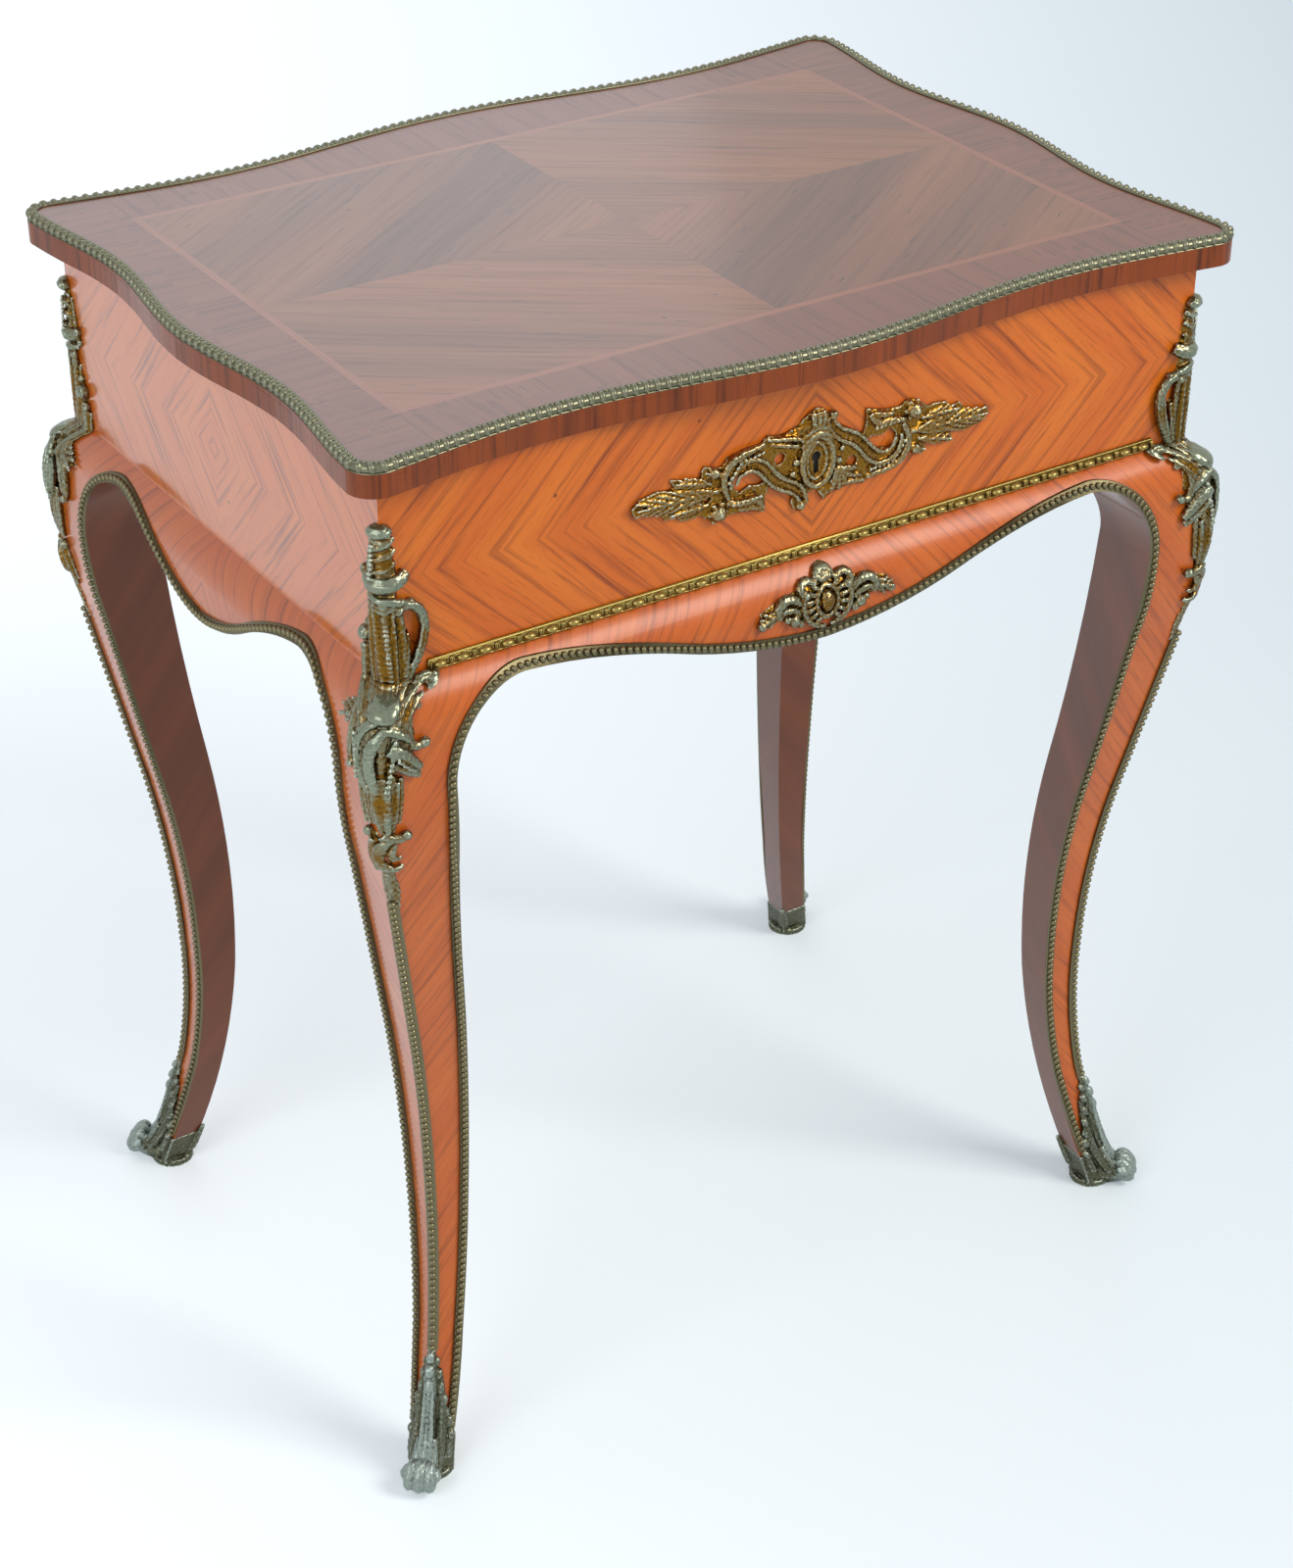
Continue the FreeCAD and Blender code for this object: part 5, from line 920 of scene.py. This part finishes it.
# the keyhole is sawn through when the casting is cold
key_cut = bmesh.new()
bmesh.ops.create_cone(key_cut, cap_ends=True, segments=20, radius1=KEY_EYE, radius2=KEY_EYE, depth=30,
                      matrix=Matrix.Translation((0, KEY_EYE_UP, 0)))
bmesh.ops.create_cube(key_cut, size=1.0, matrix=Matrix.Translation((0, KEY_SLOT_UP, 0))
                      @ Matrix.Diagonal((*KEY_SLOT, 30.0, 1.0)))
key_tool = piece_of("key_cut", key_cut)
saw = escutcheon.modifiers.new("keyhole", "BOOLEAN")
saw.operation = "DIFFERENCE"
saw.object = key_tool
saw.use_self = True
escutcheon.data = settled(escutcheon)
bpy.data.objects.remove(key_tool)


def on_frieze(flat):
    """Lays the escutcheon on the flat front frieze, about the keyhole."""
    return np.column_stack((flat[:, 0] / 1000, -WALL_Y - (flat[:, 2] + FLAT_BACK) / 1000,
                            LOCK_LEVEL + flat[:, 1] / 1000))


bend(escutcheon, on_frieze)
fit(escutcheon, escutcheon_brass, "mount_bronze", "table", "escutcheon")
# painted shade: a dark disc laid on the frieze behind the keyhole stands for the hole in the wood, dark
# down to the lock
dirt_specks_and_keyhole_shade, tree, shader = new_finish("keyhole_painted_shade")
shader.inputs["Base Color"].default_value = linear("#0C0705")
shader.inputs["Roughness"].default_value = 0.9
shade_disc = bmesh.new()
behind_key = Matrix.Translation((0, -WALL_Y - SHADE_DISC_THICK / 2, LOCK_LEVEL - SHADE_DISC_DOWN))
bmesh.ops.create_cone(shade_disc, cap_ends=True, segments=24, radius1=SHADE_DISC_RADIUS, radius2=SHADE_DISC_RADIUS,
                      depth=SHADE_DISC_THICK, matrix=behind_key @ Matrix.Rotation(math.pi / 2, 4, "X"))
fit(piece_of("keyhole_shade_disc", shade_disc), dirt_specks_and_keyhole_shade, "carcase_oak", "table")


# Cartouche on the front apron: an egg in a ribbed shell between curled leaves, cast in brass
# and pinned to the swell of the apron. The gilding is left on the egg and in the shell.
CARTOUCHE_LEVEL, APRON_GAP = 573.0, 0.3
EGG_GILT = ((0, -2, 5, 0.006), (0, 0, 17, 0.001))
finish(mount_brass, "mount_bronze", "apron_cartouche")
wax = bmesh.new()
stroke(wax, [(-20, -1, 0), (-8, 1, 0), (8, 1, 0), (20, -1, 0)], (9, 15, 15, 9), 0.12)
for hand in (1, -1):
    stroke(wax, [(18 * hand, 2, 0), (30 * hand, 2, 0), (46 * hand, -1, 0)], (8, 7.4, 4), 0.2)
bead(wax, 0, 0, 1.4, 5.2, 1.35, 20)
loop = [(7.8 * math.sin(turn * math.pi / 8), 10 * math.cos(turn * math.pi / 8), 2.6) for turn in range(17)]
stroke(wax, loop, (1.5, 1.5))
# the ribbed shell at both sides of the egg, inside a moulded frame
for hand in (1, -1):
    for turn in range(6):
        angle = math.radians(-58 + turn * 22)
        stroke(wax, [(wide * math.cos(angle) * hand, high * math.sin(angle), out)
                     for wide, high, out in ((9.4, 10.6, 2.2), (12.6, 12.6, 3.6), (15.6, 14.6, 2.0))],
               (1.2, 1.7, 1.4))
    stroke(wax, [(2 * hand, -15.6, 2), (10 * hand, -14.6, 2.6), (17 * hand, -7, 2.8), (18.4 * hand, 2, 2.8),
                 (15 * hand, 10, 2.6)], (1.3, 1.7, 1.8, 1.8, 1.5))
    volute(wax, [(7 * hand, 12), (12 * hand, 15.6), (18 * hand, 14), (19 * hand, 8.6), (15 * hand, 7)],
           (1.8, 2.4, 2.4, 2.0), 2.6, 2.8)
    # the arm: a moulded arch with its curl, and a leaf at the end
    stroke(wax, [(19 * hand, 3, 2), (25 * hand, 9, 3), (33 * hand, 8.4, 3.2), (37 * hand, 2, 2.6),
                 (34 * hand, -3, 2)], (2.4, 2.8, 3.0, 2.6, 2.0))
    stroke(wax, [(20 * hand, -3, 2), (25 * hand, 2, 3), (31 * hand, 2.6, 3), (33 * hand, -1, 2.4)],
           (1.8, 2.2, 2.0, 1.6))
    bead(wax, 24 * hand, -6.6, 1.8, 4.0)
    bead(wax, 20 * hand, -9.4, 1.8, 2.8)
    bead(wax, 28.6 * hand, -5.0, 2.0, 2.4)
    acanthus(wax, (34 * hand, 1), (49 * hand, -4), 5.0, 1.8, 3, 1.6, 1.6)
    bead(wax, 47 * hand, -4.2, 1.8, 3.0)
# the curled crest
stroke(wax, [(-7, 12, 2), (-4.6, 18.4, 3.2), (0, 20.4, 3.4), (4.6, 18.4, 3.2), (7, 12, 2)],
       (1.6, 2.4, 2.6, 2.4, 1.6))
for turn in range(-2, 3):
    stroke(wax, [(turn * 1.3, 12, 3.2), (turn * 1.9, 15, 4.6), (turn * 2.0, 18, 3.6)], (0.8, 1.1, 0.9))
cartouche = cast("cast_apron_cartouche", wax, voxel=0.52, gilt=EGG_GILT)


def on_apron(flat):
    """Lays the cartouche on the swell of the front apron."""
    level = (CARTOUCHE_LEVEL + flat[:, 1]) / 1000
    return np.column_stack((flat[:, 0] / 1000, -face_y(level) - (flat[:, 2] + APRON_GAP) / 1000, level))


bend(cartouche, on_apron)
fit(cartouche, mount_brass, "mount_bronze", "table", "apron_cartouche")


# Corner bead strips: rolled brass, a row of beads on a flat backing, bent over each leg's outer
# corner from the drop leaf down to the sabot and pinned. The beads are set at an even pitch
# along a line, as they are on all the trim that follows.
STRIP_PITCH, STRIP_FOOT, STRIP_HEAD, STRIP_OUT = 0.0049, 0.084, 0.462, 0.0009
STRIP_BEAD = (0.0020, 0.0028, 0.0026)
LOOK_ALONG = 0.0008
BEAD_LEVEL, BEAD_RELIEF = 0.0015, 0.0018


def spaced(path, pitch, closed=False):
    """Even stations along a line of points: the place and the direction of each."""
    path = np.array(path, float)
    if closed:
        path = np.vstack((path, path[:1]))
    steps = np.linalg.norm(np.diff(path, axis=0), axis=1)
    run = np.concatenate(([0.0], np.cumsum(steps)))
    count = max(2, int(round(run[-1] / pitch)))
    stations = (np.arange(count) + 0.5) * run[-1] / count
    spots = np.column_stack([np.interp(stations, run, path[:, axis]) for axis in range(3)])
    later, earlier = np.minimum(stations + LOOK_ALONG, run[-1]), np.maximum(stations - LOOK_ALONG, 0)
    ahead = np.column_stack([np.interp(later, run, path[:, axis]) for axis in range(3)])
    behind = np.column_stack([np.interp(earlier, run, path[:, axis]) for axis in range(3)])
    return [(Vector(spot), Vector(a - b).normalized()) for spot, a, b in zip(spots, ahead, behind)]


round_bead = bmesh.new()
bmesh.ops.create_uvsphere(round_bead, u_segments=8, v_segments=5, radius=1.0)
round_bead.verts.index_update()
BEAD_POINTS = np.array([vertex.co for vertex in round_bead.verts])
BEAD_FACES = [[vertex.index for vertex in face.verts] for face in round_bead.faces]
round_bead.free()


def lobe(lobes, spot, along, out, half_sizes, tilt=0.0):
    """One bead or lobe: half_sizes are along the strip, across it, and out from it."""
    across = out.cross(along).normalized()
    out = along.cross(across).normalized()
    turned = Matrix.Rotation(tilt, 3, out)
    axes = Matrix((turned @ along, turned @ across, out)).transposed() @ Matrix.Diagonal(half_sizes)
    lobes.append(BEAD_POINTS @ np.array(axes).T + np.array(spot))


def trim_piece(name, trim, lobes, material, slot, body, *replaced):
    """Joins the backing and its lobes in one piece, and notes the lobes' relief for the patina."""
    faces = [[corner + index * len(BEAD_POINTS) for corner in face]
             for index in range(len(lobes)) for face in BEAD_FACES]
    row = bpy.data.meshes.new("row")
    row.from_pydata(np.concatenate(lobes).tolist(), [], faces)
    trim.from_mesh(row)
    bpy.data.meshes.remove(row)
    bmesh.ops.recalc_face_normals(trim, faces=trim.faces[:])
    piece = piece_of(name, trim)
    for polygon in piece.data.polygons:
        polygon.use_smooth = True
    relief = piece.data.attributes.new("relief", "FLOAT", "POINT")
    tops = np.tile(BEAD_LEVEL + BEAD_RELIEF * BEAD_POINTS[:, 2], len(lobes))
    plain = np.zeros(len(piece.data.vertices) - len(tops))
    relief.data.foreach_set("value", np.concatenate((plain, tops)))
    fit(piece, material, slot, body, *replaced)


strip_brass = metal("rolled_brass_strips", "#5A543A", "#261C0A", "#0E0A05", roughness=0.32,
                    relief=0.0038, bright="#7E7658")
finish(strip_brass, "strip_brass", *["corner_strip_" + corner for corner in CORNERS])
for corner in CORNERS:
    hand_x, hand_y = hands(corner)
    path = [(hand_x * (float(face_x(z)) + STRIP_OUT), hand_y * (float(face_y(z)) + STRIP_OUT), z)
            for z in np.arange(STRIP_FOOT, STRIP_HEAD, 0.004)]
    out = Vector((hand_x, hand_y, 0)).normalized()
    lobes = []
    for spot, along in spaced(path, STRIP_PITCH):
        lobe(lobes, spot, along, out, STRIP_BEAD)
    trim_piece("corner_beads_" + corner, bmesh.new(), lobes, strip_brass, "strip_brass", "table")

# Edging beads: the same rolled strip up the inner edge of each leg, round the arches and along
# the apron's lobe, pinned on its brass band. Its beads are set a little aslant.
SPRING, ARCH_RUN, ARCH_RISE, LOBE = 0.530, 0.050, 0.056, 0.037
ANKLE_LEVEL, ANKLE_WIDTH, LEG_SPREAD, LEG_SWELL = 0.004, 0.019, 0.030, 1.4
EDGING_PITCH, EDGING_FOOT, EDGING_IN, EDGING_OUT = 0.0047, 0.0265, 0.003, 0.0019
EDGING_BEAD, EDGING_SLANT = (0.0019, 0.0027, 0.0022), 0.5
finish(strip_brass, "strip_brass", *["apron_edging_" + side for side in SIDES])


def leg_width(level):
    """The width of a leg's outer face, from the ankle up to the spring of the arch."""
    return ANKLE_WIDTH + LEG_SPREAD * ((level - ANKLE_LEVEL) / (SPRING - ANKLE_LEVEL)) ** LEG_SWELL


def edging_line(face):
    """The lower edge of a side from one foot to the other: across and up."""
    half = [(float(face(z)) - leg_width(z), z) for z in np.arange(EDGING_FOOT, SPRING, 0.006)]
    spring = float(face(SPRING)) - leg_width(SPRING)
    half += [(spring - ARCH_RUN * (1 - math.cos(t)), SPRING + ARCH_RISE * math.sin(t))
             for t in np.linspace(0, math.pi / 2, 14)]
    apex = spring - ARCH_RUN
    half += [(apex * s, SPRING + ARCH_RISE - LOBE * (1 + math.cos(math.pi * s)) / 2)
             for s in np.linspace(1, 0, 22)[1:]]
    return half + [(-x, z) for x, z in reversed(half[:-1])]


def drawn_in(line, distance):
    """The same line moved into the wood."""
    moved = []
    for index, (x, z) in enumerate(line):
        (x0, z0), (x1, z1) = line[max(index - 1, 0)], line[min(index + 1, len(line) - 1)]
        length = math.hypot(x1 - x0, z1 - z0)
        moved.append((x + distance * (z1 - z0) / length, z - distance * (x1 - x0) / length))
    return moved


for side in SIDES:
    long_side = side in ("front", "back")
    along_face, out_face = (face_x, face_y) if long_side else (face_y, face_x)
    hand = -1 if side in ("front", "left") else 1
    path = []
    for across, level in drawn_in(edging_line(along_face), EDGING_IN):
        depth = hand * (float(out_face(level)) + EDGING_OUT)
        path.append((across, depth, level) if long_side else (depth, across, level))
    out = Vector((0, hand, 0)) if long_side else Vector((hand, 0, 0))
    lobes = []
    for spot, along in spaced(path, EDGING_PITCH):
        lobe(lobes, spot, along, out, EDGING_BEAD, EDGING_SLANT)
    trim_piece("edging_beads_" + side, bmesh.new(), lobes, strip_brass, "strip_brass", "table")

# Frieze moulding: cast in lengths in brass and pinned between frieze and apron, a row of eggs
# between two fillets, with small darts between the eggs.
EGG_PITCH, MOULDING_END, MOULDING_OUT = 0.0145, 0.001, 0.0014
BACK_THICK, BACK_TALL, BACK_OUT = 0.0018, 0.0078, 0.0008
FILLET_IN, FILLET_OUT, FILLET_RADIUS = 0.0009, 0.0016, 0.00062
EGG, DART_TALL, DART_DEEP = (0.0047, 0.0025, 0.0040), 0.0030, 0.0024
# the darts of one egg: shift along the moulding and half width
DARTS = ((-0.0062, 0.0005), (0.0062, 0.0005), (0.00725, 0.0009))
moulding_brass = metal("cast_brass_moulding", "#766840", "#221A08", "#0A0703", roughness=0.24,
                       relief=0.0042, bright="#A8924E")
finish(moulding_brass, "strip_brass", "frieze_moulding")


def bar(trim, path, radius, closed=False):
    """A round wire along a line, for fillets and backing."""
    curve = bpy.data.curves.new("bar", "CURVE")
    curve.dimensions = "3D"
    curve.bevel_depth = radius
    curve.bevel_resolution = 1
    spline = curve.splines.new("POLY")
    spline.points.add(len(path) - 1)
    for spot, knot in zip(path, spline.points):
        knot.co = (*spot, 1.0)
    spline.use_cyclic_u = closed
    curve.use_fill_caps = not closed
    holder = bpy.data.objects.new("bar", curve)
    mesh = bpy.data.meshes.new_from_object(holder)
    trim.from_mesh(mesh)
    bpy.data.objects.remove(holder)
    bpy.data.curves.remove(curve)
    bpy.data.meshes.remove(mesh)


low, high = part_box("frieze_moulding")
left_end, right_end, middle_z = low.x + MOULDING_END, high.x - MOULDING_END, (low.z + high.z) / 2
trim = bmesh.new()
middle = Matrix.Translation(((left_end + right_end) / 2, -WALL_Y - BACK_OUT, middle_z))
bmesh.ops.create_cube(trim, size=1.0, matrix=middle
                      @ Matrix.Diagonal((right_end - left_end, BACK_THICK, BACK_TALL, 1.0)))
for level in (low.z + FILLET_IN, high.z - FILLET_IN):
    bar(trim, [(x, -WALL_Y - FILLET_OUT, level) for x in (left_end, right_end)], FILLET_RADIUS)
out, along = Vector((0, -1, 0)), Vector((1, 0, 0))
lobes = []
x = left_end + EGG_PITCH / 2
while x < right_end - 0.004:
    lobe(lobes, Vector((x, -WALL_Y - MOULDING_OUT, middle_z)), along, out, EGG)
    for shift, half in DARTS:
        lobe(lobes, Vector((x + shift, -WALL_Y - MOULDING_OUT, middle_z)), along, out,
             (half, DART_TALL, DART_DEEP))
    x += EGG_PITCH
trim_piece("egg_moulding", trim, lobes, moulding_brass, "strip_brass", "table", "frieze_moulding")

# Lid rim: a cast brass gadroon that rolls over the edge of the lid all round, with a line of
# beads where it meets the veneer. It is mitred and pinned at the corners.
HALF_X, HALF_Y, WAVE_X, WAVE_Y, CORNER_R = 0.3005, 0.2178, 0.0055, 0.00825, 0.017
WAVE_REACH_X, WAVE_REACH_Y = 0.4913, 0.5824
RIM_PITCH, RIM_LEVEL = 0.0068, 0.7362
# the three wires of the rim: height, distance in from the lid's edge, and radius
RIM_WIRES = ((RIM_LEVEL, 0.0034, 0.0032), (0.7338, 0.0012, 0.0010), (0.7384, 0.0060, 0.0009))
GADROON_IN, GADROON_UP, GADROON, GADROON_SLANT = 0.0026, 0.0008, (0.0025, 0.0038, 0.0036), 0.5
TOP_BEAD_IN, TOP_BEAD_LEVEL, TOP_BEAD = 0.0047, 0.7388, (0.0013, 0.0013, 0.0013)
# on the front edge, short of its corners, the gadroons stand upright
FRONT_Y, FRONT_X = -0.19, 0.285
EDGE_TOP, EDGE_FOOT, EDGE_DEEP = 0.7340, 0.7314, 0.0060
rim_brass = metal("cast_brass_rim", "#5C5A44", "#1E1A0E", "#0E0D08", roughness=0.3, relief=0.0038,
                  bright="#84836C")
finish(rim_brass, "mount_bronze", "rim_moulding")


def rim_line(inset):
    """The lid's outline at a distance in from its edge, starting at the right."""
    corner_x, corner_y = HALF_X + WAVE_X - CORNER_R, HALF_Y + WAVE_Y / 2 - CORNER_R
    quarter = []
    for y in np.linspace(0, corner_y, 30)[:-1]:
        quarter.append((HALF_X + WAVE_X * math.cos(math.pi * y / (WAVE_REACH_X * HALF_Y)) - inset, y))
    for turn in np.linspace(0, math.pi / 2, 9):
        quarter.append((corner_x + (CORNER_R - inset) * math.cos(turn),
                        corner_y + (CORNER_R - inset) * math.sin(turn)))
    for x in np.linspace(corner_x, 0, 40)[1:]:
        quarter.append((x, HALF_Y + WAVE_Y * math.cos(math.pi * x / (WAVE_REACH_Y * HALF_X)) - inset))
    half = quarter + [(-x, y) for x, y in reversed(quarter[:-1])]
    return half + [(x, -y) for x, y in reversed(half[1:-1])]


# the wood goes on up behind the brass for the depth of the edge veneer
ring = bmesh.new()
EDGE_SECTION = ((0.0, EDGE_FOOT), (0.0, EDGE_TOP), (EDGE_DEEP, EDGE_TOP), (EDGE_DEEP, EDGE_FOOT))
loops = [[ring.verts.new((x, y, level)) for x, y in rim_line(inset)] for inset, level in EDGE_SECTION]
for here, there in zip(loops, loops[1:] + loops[:1]):
    for step in range(len(here)):
        after = (step + 1) % len(here)
        ring.faces.new((here[step], here[after], there[after], there[step]))
bmesh.ops.recalc_face_normals(ring, faces=ring.faces[:])
fit(piece_of("lid_edge_top", ring), edge_wood, "top_kingwood", "lid")

trim = bmesh.new()
for level, inset, radius in RIM_WIRES:
    bar(trim, [(x, y, level) for x, y in rim_line(inset)], radius, closed=True)
lobes = []
gadroon_line = [(x, y, RIM_LEVEL + GADROON_UP) for x, y in rim_line(GADROON_IN)]
top_bead_line = [(x, y, TOP_BEAD_LEVEL) for x, y in rim_line(TOP_BEAD_IN)]
for spot, along in spaced(gadroon_line, RIM_PITCH, True):
    out = (Vector((along.y, -along.x, 0)) + Vector((0, 0, 0.9))).normalized()
    on_front = spot.y < FRONT_Y and abs(spot.x) < FRONT_X
    lobe(lobes, spot, along, out, GADROON, 0.0 if on_front else GADROON_SLANT)
for spot, along in spaced(top_bead_line, RIM_PITCH / 2, True):
    lobe(lobes, spot, along, Vector((0, 0, 1)), TOP_BEAD)
trim_piece("gadroon_rim", trim, lobes, rim_brass, "mount_bronze", "lid", "rim_moulding")


# Sabots: a cast brass shoe with a round sole and a cuff about the foot, acanthus up the two
# outer faces, and a ribbed toe that scrolls forward off the corner. It is pinned to the foot,
# and is greener than the mounts higher up.
sabot_brass = metal("patinated_brass_sabots", "#909C94", "#5C5C48", "#121410", roughness=0.34)
finish(sabot_brass, "sabot_bronze", *["sabot_" + corner for corner in CORNERS])
SOLE_OUT, SOLE_TOP, SOLE_FOOT, SOLE_THICK = -13.4, 14.0, 15.2, 4.2
CUFF_MIDDLE, CUFF = 14.5, (22.4, 23.0, 22.4)
SABOT_BACK = -40.0
WING_BEADS = (
    # height, across, out, radius
    (80, 3.0, -1.2, 2.6), (72, 4.4, -1.6, 3.2), (62, 6.0, -2.6, 3.0), (53, 8.0, -4.4, 3.2),
    (44, 9.6, -6.0, 2.8), (37, 11.4, -7.6, 3.2), (28, 13.2, -8.6, 2.6),
)
TOE_SWELL = (0.8, 1.0, 1.1, 1.0, 0.9, 0.8, 0.65)
TOE_GILT = ((9, 14, 7, 0.006), (-9, 14, 7, 0.006))


def sabot_wax():
    """Across and out are measured at the leg's corner, out along the diagonal of the plan."""
    wax = bmesh.new()
    sole = Matrix.Translation((0, SOLE_THICK / 2, SOLE_OUT)) @ Matrix.Rotation(math.pi / 2, 4, "X")
    bmesh.ops.create_cone(wax, cap_ends=True, segments=40, radius1=SOLE_TOP, radius2=SOLE_FOOT,
                          depth=SOLE_THICK, matrix=sole)
    cuff = Matrix.Translation((0, CUFF_MIDDLE, SOLE_OUT)) @ Matrix.Rotation(math.pi / 4, 4, "Y")
    bmesh.ops.create_cube(wax, size=1.0, matrix=cuff @ Matrix.Diagonal((*CUFF, 1.0)))
    stroke(wax, [(0, 10, -26), (0, 22, -28), (0, 32, -30)], (4.6, 3.8, 1.6))
    # the sole runs out from the shoe into the toe
    stroke(wax, [(0, 6, -8), (0, 6, 2), (0, 7, 10), (0, 10, 15)], (10, 9, 8, 6), 0.7)
    # the leaf's body up the corner, and its two wings on the faces
    stroke(wax, [(0, 89, -0.5), (0, 74, 0.4), (0, 58, 0.2), (0, 42, -0.4), (0, 27, 0.6), (0, 15, 6)],
           (2.6, 4.8, 4.8, 4.6, 5.0, 6.0))
    for hand in (-1, 1):
        stroke(wax, [(4.6 * hand, 70, -4), (6.6 * hand, 52, -5.4), (7.4 * hand, 36, -5.6),
                     (7.2 * hand, 22, -3.0), (6.4 * hand, 12, 3)], (2.4, 3.6, 4.0, 4.4, 4.6))
        stroke(wax, [(10 * hand, 44, -10), (11.6 * hand, 29, -10.6), (11 * hand, 14, -7.6)],
               (2.0, 3.2, 4.0))
        # raffled edges of the wings
        for level, across, out, radius in WING_BEADS:
            bead(wax, across * hand, level, out, radius, 1.25)
        # flutes between them
        stroke(wax, [(2.2 * hand, 66, 3.8), (2.6 * hand, 48, 3.4), (3.2 * hand, 33, 3.6),
                     (3.4 * hand, 22, 6)], (1.0, 1.4, 1.5, 1.5))
        stroke(wax, [(7.6 * hand, 48, -2.6), (8.6 * hand, 34, -2.6), (8.6 * hand, 20, 0.6)],
               (1.0, 1.5, 1.7))
    for level, radius in ((85, 2.8), (76, 3.4), (66, 3.6)):
        bead(wax, 0, level, 3.0, radius, 1.3)
    # the toe: three ribs rolled up and over in one scroll
    for side, radius in ((-6.4, 3.9), (0, 4.7), (6.4, 3.9)):
        stroke(wax, [(side * 0.6, 30, 1), (side * 0.9, 17, 4.6), (side, 8.4, 9.5), (side * 1.05, 7.5, 15),
                     (side * 1.05, 13, 18.4), (side, 20, 17), (side * 0.9, 21.5, 12.6),
                     (side * 0.9, 17.5, 10.4)], [radius * share for share in TOE_SWELL])
    for hand in (-1, 1):
        bead(wax, 8.6 * hand, 14.6, 13.4, 4.8)
        bead(wax, 11.6 * hand, 14.6, 13.4, 2.2)
    return wax


def on_foot(corner):
    """Sets a flat casting on a foot: its out runs off the corner, halfway between the faces."""
    hand_x, hand_y = hands(corner)

    def to_place(flat):
        share = math.sqrt(0.5) / 1000
        up = np.maximum(flat[:, 1] / 1000, 0.0)
        x = face_x(up) + (flat[:, 2] + flat[:, 0]) * share
        y = face_y(up) + (flat[:, 2] - flat[:, 0]) * share
        return np.column_stack((hand_x * x, hand_y * y, up))

    return to_place


flat_sabot = cast("sabot_flat", sabot_wax(), voxel=0.72, backing=SABOT_BACK, gilt=TOE_GILT)
for corner in CORNERS:
    sabot = bpy.data.objects.new("cast_sabot_" + corner, flat_sabot.data.copy())
    scene.collection.objects.link(sabot)
    bend(sabot, on_foot(corner))
    outward(sabot)
    fit(sabot, sabot_brass, "sabot_bronze", "table", "sabot_" + corner)
bpy.data.objects.remove(flat_sabot)
